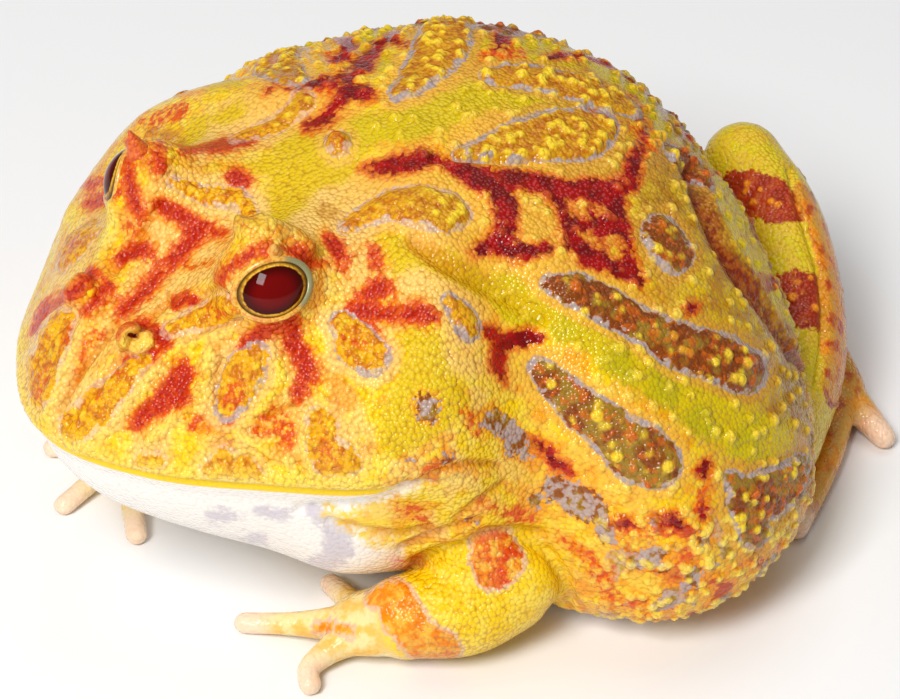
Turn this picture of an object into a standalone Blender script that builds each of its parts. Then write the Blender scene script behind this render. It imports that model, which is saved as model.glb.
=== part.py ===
"""Argentine horned frog, life size, sitting on a flat floor with its head raised.

X points to the snout, Y to the frog's left and Z up. Lengths below are in millimetres and are
turned to metres where the meshes are made. Run: blender --background --python part.py
"""

import math

import bmesh
import bpy
import numpy as np
from mathutils import Matrix, Vector

MM = 0.001
GAP = 0.3

# Body. Angles run round the body in degrees, from the snout (0) to the vent (180).
SNOUT_X = 55.2
LIP_FRONT_HEIGHT = 30.3
LIP_SLOPE = -0.045
FLANK_HEIGHT = 15.5
RUMP_HEIGHT = 14.0
NECK_X = 11.0
MOUTH_CORNER_X = 26.0
MOUTH_BELOW_RING = 0.06
OUTLINE = [(-16, 51.8), (0, 55.2), (16, 51.8), (32, 47.5), (48, 45.1), (62, 44.3), (79, 43.4),
           (95, 56.5), (110, 60.0), (130, 55.6), (150, 52.5), (170, 52.0), (180, 52.5), (190, 52.0)]
UPPER_FULLNESS = [(0, 1.6), (40, 1.66), (70, 2.35), (100, 1.68), (140, 1.82), (180, 1.95)]
LOWER_FULLNESS = [(0, 2.3), (60, 2.5), (94, 3.5), (114, 2.45), (135, 2.1), (180, 2.3)]
CEILING = [(-60, 61.0), (-35, 63.4), (-12, 58.8), (10, 56.9), (30, 56.5), (56, 55.0)]
CHIN_HEIGHT = 7.0
CHEST_X = 13.0
CHIN_X = 52.0
BELLY_SINK = 1.0
LIP_OVERHANG = 1.3
LIP_SWELL = 0.7
BODY_COLUMNS = 72
UPPER_LEVELS = (0, 0.03, 0.07, 0.14, 0.22, 0.31, 0.40, 0.49, 0.58, 0.67, 0.76, 0.85, 0.93)
LOWER_LEVELS = (-0.92, -0.84, -0.74, -0.62, -0.48, -0.33, -0.18, -0.08)

# Swellings and hollows of the upper skin: x, y, spread along x, spread along y, height
RELIEF = {
    "brow": (29.0, 12.6, 6.8, 5.6, 6.0),
    "between_eyes": (32.0, 0.0, 9.0, 5.0, -2.0),
    "nostril_swelling": (44.5, 6.0, 3.2, 3.0, 1.6),
}

# Eyes, lids, horns and nostrils
EYE_RADIUS = 5.8
EYE_AT = (30.0, 14.0, 49.8)
GAZE = (0.37, 0.81, 0.46)
LID_THICKNESS = 0.95
LID_OPENING = (5.0, 3.9)
HORN_BASE = (29.8, 15.5, 54.0)
HORN_TIP = (30.3, 16.8, 57.2)
HORN_RADIUS = 1.9
NOSTRIL_AT = (44.6, 5.7, 43.0)
NOSTRIL_RIM = 2.1
NOSTRIL_HOLE = 0.7

# Limbs: x, y, z, half width, half height at each joint or knuckle
LEFT_ARM = {
    "upper_arm": [(16, 26, 22, 7, 7), (13, 33.5, 16, 7, 7), (10.6, 38.8, 11, 6.4, 6.4)],
    "forearm": [(11.8, 38.6, 9.0, 6.0, 6.4), (17, 37.2, 7.3, 6.2, 6.4), (23.3, 33.2, 5.6, 5.2, 5.2)],
    "palm": [(21, 34, 5.2, 4.4, 4.2), (26, 30, 4.0, 5.0, 3.4), (28.5, 28, 3.2, 4.4, 2.6)],
    "fingers": [
        [(24, 30, 3.4, 2.2, 2.2), (21, 27, 2.4, 1.6, 1.6), (17.5, 23.5, 1.2, 1.4, 1.35)],
        [(26, 29, 3.2, 2.2, 2.2), (25, 23, 2.2, 1.6, 1.5), (24.4, 17.5, 1.2, 1.5, 1.35)],
        [(28, 28, 3.2, 2.2, 2.2), (33.5, 21.8, 2.0, 1.5, 1.4), (37.8, 17.2, 1.2, 1.5, 1.35)],
        [(28, 30, 3.2, 2.2, 2.2), (33.5, 29.3, 2.2, 1.6, 1.5), (36.6, 30, 1.5, 1.4, 1.3),
         (37.6, 32, 1.1, 1.5, 1.3)],
    ],
}
RIGHT_ARM = {
    "upper_arm": [(14, -28, 22, 7, 7), (10, -36, 16, 7, 7), (9, -41, 11, 6.6, 6.6)],
    "forearm": [(10, -41, 9.5, 6.4, 6.4), (19, -34, 8.2, 6.4, 6.2), (26, -25.5, 5.8, 5.0, 4.8)],
    "palm": [(25, -27, 5.2, 4.4, 4.2), (30, -22, 4.0, 5.0, 3.4), (32.5, -20, 3.2, 4.4, 2.6)],
    "fingers": [
        [(29, -21, 3.4, 2.2, 2.2), (27, -17, 2.4, 1.6, 1.6), (25, -12, 1.2, 1.4, 1.35)],
        [(31, -20, 3.2, 2.2, 2.2), (36, -13, 2.2, 1.6, 1.5), (39.6, -6, 1.2, 1.5, 1.35)],
        [(32, -20, 3.2, 2.2, 2.2), (38.5, -18.6, 2.0, 1.5, 1.4), (44.2, -17.2, 1.2, 1.5, 1.35)],
        [(31, -22, 3.2, 2.2, 2.2), (35.5, -25.5, 2.2, 1.6, 1.5), (39, -29, 1.2, 1.5, 1.3)],
    ],
}
LEFT_LEG = {
    "thigh": [(-43, 4, 21, 7.5, 7.5), (-42.5, 15, 17.5, 7.5, 8), (-39.5, 26, 13.5, 7.5, 8),
              (-34, 36, 11, 7, 7)],
    "shank": [(-34, 38, 11, 6.3, 6.6), (-46, 28.5, 13.5, 6.8, 7.2), (-52.5, 19.5, 17.5, 7, 7.6),
              (-57, 9.6, 22.2, 6.8, 7.4), (-58.8, 1.4, 26.2, 5.8, 5.8)],
    "sole": [(-60.5, 1.5, 20.5, 3.8, 3.8), (-64.6, 7.4, 13.5, 3.4, 3.8), (-58.9, 18, 7.5, 3.2, 3.4),
             (-54.4, 28, 4, 4.4, 3)],
    "toes": [
        [(-55.5, 29, 3.4, 2.6, 2.6), (-54.8, 38, 1.5, 1.7, 1.65)],
        [(-55, 29, 3.6, 2.6, 2.6), (-43, 38.8, 2.4, 1.9, 1.8), (-32, 45.6, 1.5, 1.6, 1.6)],
        [(-55, 28, 3.6, 2.6, 2.6), (-43, 33.5, 2.2, 1.8, 1.7), (-31, 37.5, 1.3, 1.5, 1.45)],
        [(-56, 27, 3.4, 2.4, 2.4), (-48, 28.5, 2.0, 1.7, 1.6), (-41, 29.5, 1.3, 1.5, 1.45)],
    ],
}
RIGHT_LEG = {
    "thigh": [(-43, -7, 21, 7.5, 7.5), (-41.5, -18, 17.5, 7.5, 8), (-38, -29, 13.5, 7.5, 8),
              (-33, -39, 11, 7, 7)],
    "shank": [(-34, -41, 11, 6.3, 6.6), (-44, -34.5, 12.5, 6.8, 7.2), (-50.5, -26.5, 14.5, 7, 7.4),
              (-55, -17.5, 16.5, 6.4, 6.6), (-57, -10.5, 17.5, 5, 5)],
    "sole": [(-58.5, -11.5, 13.5, 3.8, 3.8), (-62.5, -19, 10, 3.4, 3.8), (-59, -30, 6.5, 3.4, 3.4),
             (-52, -39, 4, 4.6, 3)],
    "toes": [
        [(-52, -39, 3.4, 2.6, 2.6), (-50, -48, 1.5, 1.7, 1.65)],
        [(-51, -39, 3.6, 2.6, 2.6), (-39, -48, 2.4, 1.9, 1.8), (-28, -55, 1.5, 1.6, 1.6)],
        [(-51, -38, 3.6, 2.6, 2.6), (-40, -42.5, 2.2, 1.8, 1.7), (-29, -46, 1.3, 1.5, 1.45)],
        [(-52, -37, 3.4, 2.4, 2.4), (-45, -37.5, 2.0, 1.7, 1.6), (-38, -38, 1.3, 1.5, 1.45)],
    ],
}

# Warts of the back: how many, the lowest and highest level they stand at, and their size
WARTS = {"count": 46, "low": 0.22, "high": 0.86, "radius": (1.3, 2.1), "height": (0.9, 1.3)}
GOLDEN_ANGLE = 137.508

# Colour, roughness and metallic share of each slot
MATERIALS = {
    "back_skin": ((0.78, 0.42, 0.04), 0.45, 0.0),
    "head_skin": ((0.85, 0.48, 0.06), 0.42, 0.0),
    "jaw_skin": ((0.86, 0.78, 0.62), 0.45, 0.0),
    "limb_skin": ((0.80, 0.50, 0.05), 0.45, 0.0),
    "horn_skin": ((0.75, 0.30, 0.05), 0.5, 0.0),
    "eye_ball": ((0.20, 0.01, 0.01), 0.08, 0.0),
}


def through(stations, at):
    """Smooth curve through (position, value...) stations, with a slope fitted at each one."""
    table = np.array(stations, float)
    place, value = table[:, 0], table[:, 1:]
    slope = np.gradient(value, place, axis=0)
    at = np.clip(np.asarray(at, float), place[0], place[-1])
    i = np.clip(np.searchsorted(place, at, side="right") - 1, 0, len(place) - 2)
    span = (place[i + 1] - place[i])[..., None]
    t = (at[..., None] - place[i][..., None]) / span
    made = ((1 + 2 * t) * (1 - t) ** 2 * value[i] + t * (1 - t) ** 2 * span * slope[i]
            + t * t * (3 - 2 * t) * value[i + 1] + t * t * (t - 1) * span * slope[i + 1])
    return made[..., 0] if value.shape[1] == 1 else made


def ease(low, high, x):
    """Smooth step from 0 at low to 1 at high."""
    t = np.clip((x - low) / (high - low), 0, 1)
    return t * t * (3 - 2 * t)


def lip_height(x):
    return LIP_FRONT_HEIGHT - LIP_SLOPE * (SNOUT_X - x)


def body_points(turn, level, grow=0.0):
    """Points of the body skin. turn is the angle round the body, and level runs from the middle
    of the belly (-1) over the lip and the flank line (0) to the middle of the back (1)."""
    side = np.abs(turn)
    upper = level >= 0
    fullness = np.where(upper, through(UPPER_FULLNESS, side), through(LOWER_FULLNESS, side))
    bend = np.abs(level) * math.pi / 2
    reach = np.cos(bend).clip(0) ** (2 / fullness)
    rise = np.sin(bend) ** (2 / fullness)
    mouth = ease(75, 55, side)
    radius = through(OUTLINE, side) + grow
    radius = radius - LIP_OVERHANG * mouth * np.where(upper, 0, ease(0, -0.08, level))
    radius = radius + LIP_SWELL * mouth * np.where(upper, ease(0.1, 0.03, level), 0)
    x = radius * reach * np.cos(np.radians(turn))
    y = radius * reach * np.sin(np.radians(turn))
    edge = radius * np.cos(np.radians(turn))
    middle = (FLANK_HEIGHT + (lip_height(edge) - FLANK_HEIGHT) * ease(5, 24, edge)
              + (RUMP_HEIGHT - FLANK_HEIGHT) * ease(-20, -50, edge))
    top = through(CEILING, x) + grow
    bottom = -BELLY_SINK + CHIN_HEIGHT * ease(CHEST_X, CHIN_X, x) - grow
    z = np.where(upper, middle + (top - middle) * rise, middle - (middle - bottom) * rise)
    swell = np.zeros_like(z)
    for at_x, at_y, spread_x, spread_y, height in RELIEF.values():
        for mirrored in ((1,) if at_y == 0 else (1, -1)):
            far = ((x - at_x) / spread_x) ** 2 + ((y - mirrored * at_y) / spread_y) ** 2
            swell += height * np.exp(-far / 2)
    z = z + np.where(upper, swell * ease(0, 0.25, level), 0)
    return np.stack([x, y, z], -1)


def finish_mesh(name, work, collection):
    mesh = bpy.data.meshes.new(name)
    bmesh.ops.recalc_face_normals(work, faces=work.faces)
    if work.calc_volume(signed=True) < 0:
        bmesh.ops.reverse_faces(work, faces=work.faces)
    work.to_mesh(mesh)
    work.free()
    made = bpy.data.objects.new(name, mesh)
    collection.objects.link(made)
    return made


def new_object(name, vertices, faces, collection):
    mesh = bpy.data.meshes.new(name)
    mesh.from_pydata([tuple(MM * float(c) for c in v) for v in vertices], [], faces)
    work = bmesh.new()
    work.from_mesh(mesh)
    bpy.data.meshes.remove(mesh)
    return finish_mesh(name, work, collection)


def loft(name, rings, start, end, collection):
    """Closed solid through rings of points, closed by a point at each end."""
    count, sides = rings.shape[:2]
    vertices = [tuple(p) for p in rings.reshape(-1, 3)] + [tuple(start), tuple(end)]
    first, last = count * sides, count * sides + 1
    faces = []
    for ring in range(count - 1):
        for side in range(sides):
            beside = (side + 1) % sides
            here, there = ring * sides, (ring + 1) * sides
            faces.append((here + side, here + beside, there + beside, there + side))
    for side in range(sides):
        beside = (side + 1) % sides
        faces.append((first, beside, side))
        faces.append((last, (count - 1) * sides + side, (count - 1) * sides + beside))
    return new_object(name, vertices, faces, collection)


def body_solid(name, grow, collection):
    turns = np.arange(BODY_COLUMNS) * 360 / BODY_COLUMNS - 180
    turn, level = np.meshgrid(turns, np.array(LOWER_LEVELS + UPPER_LEVELS, float))
    rings = body_points(turn, level, grow)
    ends = body_points(np.array([0.0, 0.0]), np.array([-1.0, 1.0]), grow)
    return loft(name, rings, ends[0], ends[1], collection)


def limb_solid(name, joints, grow, sides, steps, collection):
    """Tube with rounded ends along a smooth curve through joints."""
    joints = np.array(joints, float)
    along = np.concatenate([[0], np.cumsum(np.linalg.norm(np.diff(joints[:, :3], axis=0), axis=1))])
    dense = through(np.column_stack([along, joints]), np.linspace(0, along[-1], steps))
    centre, size = dense[:, :3], dense[:, 3:] + grow
    ahead = np.gradient(centre, axis=0)
    ahead /= np.linalg.norm(ahead, axis=1)[:, None]
    across = np.cross([0, 0, 1], ahead)
    across /= np.linalg.norm(across, axis=1)[:, None]
    lift = np.cross(ahead, across)
    caps = np.radians([62, 32])
    places = [centre[0] - ahead[0] * size[0].min() * math.sin(a) for a in caps]
    places += list(centre)
    places += [centre[-1] + ahead[-1] * size[-1].min() * math.sin(a) for a in caps[::-1]]
    sizes = [size[0] * math.cos(a) for a in caps] + list(size)
    sizes += [size[-1] * math.cos(a) for a in caps[::-1]]
    frames = [0] * len(caps) + list(range(steps)) + [steps - 1] * len(caps)
    angle = (np.arange(sides) + 0.5) * 2 * math.pi / sides
    rings = np.array([
        place + np.outer(np.cos(angle) * s[0], across[f]) + np.outer(np.sin(angle) * s[1], lift[f])
        for place, s, f in zip(places, sizes, frames)])
    start = centre[0] - ahead[0] * size[0].min()
    end = centre[-1] + ahead[-1] * size[-1].min()
    return loft(name, rings, start, end, collection)


def box(name, low, high, collection, slope=0.0):
    """Box between two corners. With a slope, its height at each x rises by slope times x."""
    low, high = Vector(low) * MM, Vector(high) * MM
    lean = Matrix(((1, 0, 0, 0), (0, 1, 0, 0), (slope, 0, 1, 0), (0, 0, 0, 1)))
    place = Matrix.Translation((low + high) / 2) @ Matrix.Diagonal((*(high - low), 1))
    work = bmesh.new()
    bmesh.ops.create_cube(work, size=1, matrix=lean @ place)
    return finish_mesh(name, work, collection)


def ball(name, centre, radius, columns, rows, collection):
    work = bmesh.new()
    bmesh.ops.create_uvsphere(work, u_segments=columns, v_segments=rows, radius=radius * MM,
                              matrix=Matrix.Translation(Vector(centre) * MM))
    return finish_mesh(name, work, collection)


def cone(name, base, tip, radius, end_radius, sides, collection, flatness=1.0):
    """Round cone from base to tip; flatness narrows it across its own height."""
    base, tip = Vector(base) * MM, Vector(tip) * MM
    ahead = (tip - base).normalized()
    across = Vector((0, 0, 1)).cross(ahead).normalized()
    lift = ahead.cross(across) * flatness
    turn = Matrix((across, lift, ahead)).transposed().to_4x4()
    work = bmesh.new()
    bmesh.ops.create_cone(work, cap_ends=True, cap_tris=False, segments=sides, radius1=radius * MM,
                          radius2=end_radius * MM, depth=(tip - base).length,
                          matrix=Matrix.Translation((base + tip) / 2) @ turn)
    return finish_mesh(name, work, collection)


def back_warts(collection):
    """Low cones spread evenly over the torso's upper skin, each standing along the skin's normal."""
    made = []
    for k in range(WARTS["count"]):
        share = (k + 0.5) / WARTS["count"]
        level = WARTS["low"] + (WARTS["high"] - WARTS["low"]) * share
        turn = (k * GOLDEN_ANGLE) % 360 - 180
        near = body_points(np.array([turn, turn + 1, turn]), np.array([level, level, level + 0.01]))
        at = near[0]
        out = np.cross(near[1] - at, near[2] - at)
        out *= np.sign(out[2]) / np.linalg.norm(out)
        if at[0] > NECK_X - 4 or (at[0] < -44 and at[2] < 34):
            continue
        size = 0.5 + 0.5 * math.sin(k * 2.4)
        radius = WARTS["radius"][0] + (WARTS["radius"][1] - WARTS["radius"][0]) * size
        height = WARTS["height"][0] + (WARTS["height"][1] - WARTS["height"][0]) * size
        made.append(cone(f"wart_{k}", at - out, at + out * height, radius * 1.25, radius * 0.45, 7,
                         collection))
    return made


def apply_boolean(target, tool, operation):
    modifier = target.modifiers.new("join", "BOOLEAN")
    modifier.operation = operation
    modifier.solver = "EXACT"
    if isinstance(tool, bpy.types.Collection):
        modifier.operand_type = "COLLECTION"
        modifier.collection = tool
    else:
        modifier.object = tool
    graph = bpy.context.evaluated_depsgraph_get()
    made = bpy.data.meshes.new_from_object(target.evaluated_get(graph))
    target.modifiers.clear()
    old = target.data
    target.data = made
    bpy.data.meshes.remove(old)


def keep_largest(target):
    """Keep only the closed surface with the most volume."""
    work = bmesh.new()
    work.from_mesh(target.data)
    bmesh.ops.remove_doubles(work, verts=work.verts, dist=0.00002)
    bmesh.ops.dissolve_degenerate(work, edges=work.edges, dist=0.00001)
    bmesh.ops.triangulate(work, faces=work.faces)
    left, shells = set(work.faces), []
    while left:
        shell, queue = [], [left.pop()]
        while queue:
            face = queue.pop()
            shell.append(face)
            for edge in face.edges:
                for beside in edge.link_faces:
                    if beside in left:
                        left.discard(beside)
                        queue.append(beside)
        shells.append(shell)

    def volume(shell):
        return abs(sum(f.verts[0].co.dot(f.verts[1].co.cross(f.verts[2].co)) for f in shell)) / 6

    shells.sort(key=volume)
    for shell in shells[:-1]:
        bmesh.ops.delete(work, geom=shell, context="FACES")
    loose = [v for v in work.verts if not v.link_faces]
    bmesh.ops.delete(work, geom=loose, context="VERTS")
    if work.calc_volume(signed=True) < 0:
        bmesh.ops.reverse_faces(work, faces=work.faces)
    work.to_mesh(target.data)
    work.free()


def cut(target, *tools):
    for tool in tools:
        apply_boolean(target, tool, "DIFFERENCE")
    keep_largest(target)


def join(name, pieces, collection, scene):
    """One solid from overlapping pieces."""
    holder = bpy.data.collections.new(name + "_pieces")
    scene.collection.children.link(holder)
    target = pieces[0]
    for piece in pieces[1:]:
        holder.objects.link(piece)
        for old in list(piece.users_collection):
            if old != holder:
                old.objects.unlink(piece)
    apply_boolean(target, holder, "UNION")
    for piece in list(holder.objects):
        bpy.data.objects.remove(piece)
    bpy.data.collections.remove(holder)
    keep_largest(target)
    target.name = name
    if collection not in target.users_collection:
        for old in list(target.users_collection):
            old.objects.unlink(target)
        collection.objects.link(target)
    return target


def paint(target, slot):
    made = bpy.data.materials.get(slot)
    if made is None:
        colour, roughness, metallic = MATERIALS[slot]
        made = bpy.data.materials.new(slot)
        made.use_nodes = True
        shader = made.node_tree.nodes["Principled BSDF"]
        shader.inputs["Base Color"].default_value = (*colour, 1)
        shader.inputs["Roughness"].default_value = roughness
        shader.inputs["Metallic"].default_value = metallic
        made.diffuse_color = (*colour, 1)
    target.data.materials.clear()
    target.data.materials.append(made)
    target.data.polygons.foreach_set("use_smooth", [True] * len(target.data.polygons))


def main():
    for old in list(bpy.data.objects):
        bpy.data.objects.remove(old)
    scene = bpy.context.scene
    parts = bpy.data.collections.new("horned_frog")
    helpers = bpy.data.collections.new("cutters")
    scene.collection.children.link(parts)
    scene.collection.children.link(helpers)

    floor_cut = box("floor_cut", (-200, -200, -30), (200, 200, 0), helpers)
    grown_body = body_solid("grown_body", GAP, helpers)

    # Torso, head and lower jaw share one body skin and are parted by plane cuts
    torso = body_solid("torso", 0, parts)
    torso = join("torso", [torso] + back_warts(helpers), parts, scene)
    cut(torso, box("front_half", (NECK_X - GAP / 2, -99, -20), (99, 99, 99), helpers), floor_cut)

    mouth = lip_height(0) - MOUTH_BELOW_RING
    head = body_solid("head", 0, parts)
    lower_jaw = body_solid("lower_jaw", 0, parts)
    cut(lower_jaw, box("above_mouth", (-99, -99, mouth - GAP), (99, 99, 99), helpers, LIP_SLOPE),
        box("behind_jaw", (-99, -99, -20), (MOUTH_CORNER_X + GAP, 99, 99), helpers))

    # Eyes, lids, horns and nostrils
    swellings = []
    for mirror in (1, -1):
        flip = np.array([1, mirror, 1])
        swellings.append(ball("lid", np.array(EYE_AT) * flip, EYE_RADIUS + LID_THICKNESS, 24, 14, helpers))
        swellings.append(ball("rim", np.array(NOSTRIL_AT) * flip, NOSTRIL_RIM, 12, 8, helpers))
    head = join("head", [head] + swellings, parts, scene)
    cut(head, box("rear_half", (-99, -99, -20), (NECK_X + GAP / 2, 99, 99), helpers),
        box("jaw_space", (MOUTH_CORNER_X, -99, -40), (99, 99, mouth), helpers, LIP_SLOPE), floor_cut)
    for mirror, side in ((1, "left"), (-1, "right")):
        flip = np.array([1, mirror, 1])
        at, gaze = np.array(EYE_AT) * flip, np.array(GAZE) * flip
        gaze /= np.linalg.norm(gaze)
        socket = ball("socket_" + side, at, EYE_RADIUS + GAP, 24, 14, helpers)
        opening = cone("opening_" + side, at, at + gaze * 14, LID_OPENING[0], LID_OPENING[0] * 1.25, 20,
                       helpers, LID_OPENING[1] / LID_OPENING[0])
        hole_at = np.array(NOSTRIL_AT) * flip
        outward = np.array([0.35, 0.75 * mirror, 0.65])
        hole = cone("nostril_" + side, hole_at, hole_at + outward * 6, NOSTRIL_HOLE, NOSTRIL_HOLE * 1.6, 8,
                    helpers)
        cut(head, socket, opening, hole)
        eye = ball("eye_" + side, at, EYE_RADIUS, 24, 14, parts)
        keep_largest(eye)
        paint(eye, "eye_ball")
        horn = cone("horn_" + side, np.array(HORN_BASE) * flip, np.array(HORN_TIP) * flip, HORN_RADIUS, 0.35,
                    10, parts)
        over_lid = ball("over_lid_" + side, at, EYE_RADIUS + LID_THICKNESS + GAP, 24, 14, helpers)
        cut(horn, over_lid)
        paint(horn, "horn_skin")

    for side, arm, leg in (("left", LEFT_ARM, LEFT_LEG), ("right", RIGHT_ARM, RIGHT_LEG)):
        upper_arm = limb_solid("upper_arm_" + side, arm["upper_arm"], 0, 12, 6, parts)
        forearm = limb_solid("forearm_" + side, arm["forearm"], 0, 12, 7, parts)
        grown_upper_arm = limb_solid("grown_upper_arm_" + side, arm["upper_arm"], GAP, 12, 6, helpers)
        grown_forearm = limb_solid("grown_forearm_" + side, arm["forearm"], GAP, 12, 7, helpers)
        pieces = [limb_solid("hand_" + side, arm["palm"], 0, 12, 5, parts)]
        pieces += [limb_solid("finger", finger, 0, 8, 6, helpers) for finger in arm["fingers"]]
        hand = join("hand_" + side, pieces, parts, scene)
        cut(upper_arm, grown_body, floor_cut)
        cut(forearm, grown_body, grown_upper_arm, floor_cut)
        cut(hand, grown_body, grown_forearm, floor_cut)

        thigh = limb_solid("thigh_" + side, leg["thigh"], 0, 12, 6, parts)
        shank = limb_solid("shank_" + side, leg["shank"], 0, 12, 9, parts)
        grown_thigh = limb_solid("grown_thigh_" + side, leg["thigh"], GAP, 12, 6, helpers)
        grown_shank = limb_solid("grown_shank_" + side, leg["shank"], GAP, 12, 9, helpers)
        pieces = [limb_solid("foot_" + side, leg["sole"], 0, 12, 9, parts)]
        pieces += [limb_solid("toe", toe, 0, 8, 6, helpers) for toe in leg["toes"]]
        foot = join("foot_" + side, pieces, parts, scene)
        cut(thigh, grown_body, floor_cut)
        cut(shank, grown_body, grown_thigh, floor_cut)
        cut(foot, grown_body, grown_thigh, grown_shank, floor_cut)
        for piece in (upper_arm, forearm, hand, thigh, shank, foot):
            paint(piece, "limb_skin")

    paint(torso, "back_skin")
    paint(head, "head_skin")
    paint(lower_jaw, "jaw_skin")
    for helper in list(helpers.objects):
        bpy.data.objects.remove(helper)
    bpy.data.collections.remove(helpers)

    # Put the middle of the footprint at the origin, on the floor
    corners = np.array([tuple(v.co) for piece in parts.objects for v in piece.data.vertices])
    low, high = corners.min(0), corners.max(0)
    shift = Vector((-(low[0] + high[0]) / 2, -(low[1] + high[1]) / 2, -low[2]))
    for piece in parts.objects:
        piece.data.transform(Matrix.Translation(shift))
    print("shift in millimetres", [round(c / MM, 3) for c in shift])


main()
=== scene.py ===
# Argentine horned frog, life size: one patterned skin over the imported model, with eyes, lids and horns
import itertools
import math

import bpy
import numpy as np
from mathutils import Matrix, Vector
from mathutils.bvhtree import BVHTree


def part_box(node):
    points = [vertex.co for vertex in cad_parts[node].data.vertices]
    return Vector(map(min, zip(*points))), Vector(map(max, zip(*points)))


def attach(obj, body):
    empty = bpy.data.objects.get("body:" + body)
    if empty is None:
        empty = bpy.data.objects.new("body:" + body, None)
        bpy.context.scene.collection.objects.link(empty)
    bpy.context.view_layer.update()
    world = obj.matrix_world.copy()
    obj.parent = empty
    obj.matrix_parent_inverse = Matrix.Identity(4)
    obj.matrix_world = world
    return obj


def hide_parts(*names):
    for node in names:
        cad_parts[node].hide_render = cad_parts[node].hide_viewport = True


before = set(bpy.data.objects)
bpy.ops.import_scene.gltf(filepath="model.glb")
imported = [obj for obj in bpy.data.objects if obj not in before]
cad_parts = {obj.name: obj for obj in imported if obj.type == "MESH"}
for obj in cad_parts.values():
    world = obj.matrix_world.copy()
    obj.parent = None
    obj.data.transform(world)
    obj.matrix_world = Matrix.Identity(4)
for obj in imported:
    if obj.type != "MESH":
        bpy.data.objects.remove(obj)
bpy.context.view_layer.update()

# Lengths are millimetres in the frog's own frame: X to the snout, Y to its left, Z up
mm = 0.001
eyeAt = np.array([30.0, 14.0, 49.8])
low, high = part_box("eye_left")
shift = (np.array(low) + np.array(high)) / 2 / mm - eyeAt

# The photograph's camera, seen from the frog: pixels run right and down from the top left corner
photo = {
    "width": 900,
    "height": 699,
    "azimuth": math.radians(36.5),
    "elevation": math.radians(36.5),
    "distance": 424.0,
    "focal": 3140.0,
    "aim": np.array([-5.15, 3.85, 18.2]),
}
sight = np.array([math.sin(photo["azimuth"]) * math.cos(photo["elevation"]),
                  math.cos(photo["azimuth"]) * math.cos(photo["elevation"]), math.sin(photo["elevation"])])
rightward = np.array([-math.cos(photo["azimuth"]), math.sin(photo["azimuth"]), 0.0])
upward = np.cross(rightward, -sight)
lensAt = photo["aim"] + sight * photo["distance"]
pixelSize = photo["distance"] / photo["focal"]  # millimetres a pixel covers at the frog's middle

body = {
    "snoutX": 55.2,
    "lipFrontHeight": 30.3,
    "lipSlope": -0.045,
    "flankHeight": 15.5,
    "rumpHeight": 14.0,
    "outline": [(-16, 51.8), (0, 55.2), (16, 51.8), (32, 47.5), (48, 45.1), (62, 44.3), (79, 43.4),
                (95, 56.5), (110, 60.0), (130, 55.6), (150, 52.5), (170, 52.0), (180, 52.5), (190, 52.0)],
    "upperFullness": [(0, 1.6), (40, 1.66), (70, 2.35), (100, 1.68), (140, 1.82), (180, 1.95)],
    "lowerFullness": [(0, 2.3), (60, 2.5), (94, 3.5), (114, 2.45), (135, 2.1), (180, 2.3)],
    "ceiling": [(-60, 61.0), (-35, 63.4), (-12, 58.8), (10, 56.9), (30, 56.5), (56, 55.0)],
    "chinHeight": 7.0,
    "chestX": 13.0,
    "chinX": 52.0,
    "bellySink": 1.0,
    "lipOverhang": 1.3,
    "lipSwell": 0.7,
    "columns": 400,
    "rows": 96,
    "mouthRows": 21,
    "lastLevel": 0.985,  # the rings stop a little short of both poles
}

# Swellings and hollows of the upper skin: x, y, spread along x, spread along y, height
relief = {
    "leftBrow": (29.0, 12.6, 6.8, 5.6, 6.0),
    "rightBrow": (28.7, -10.6, 6.4, 5.2, 5.4),
    "betweenEyes": (32.0, 1.0, 9.0, 4.6, -2.0),
    "leftNostrilSwelling": (44.5, 6.0, 3.2, 3.0, 1.6),
    "rightNostrilSwelling": (44.5, -6.0, 3.2, 3.0, 1.6),
}

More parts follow.
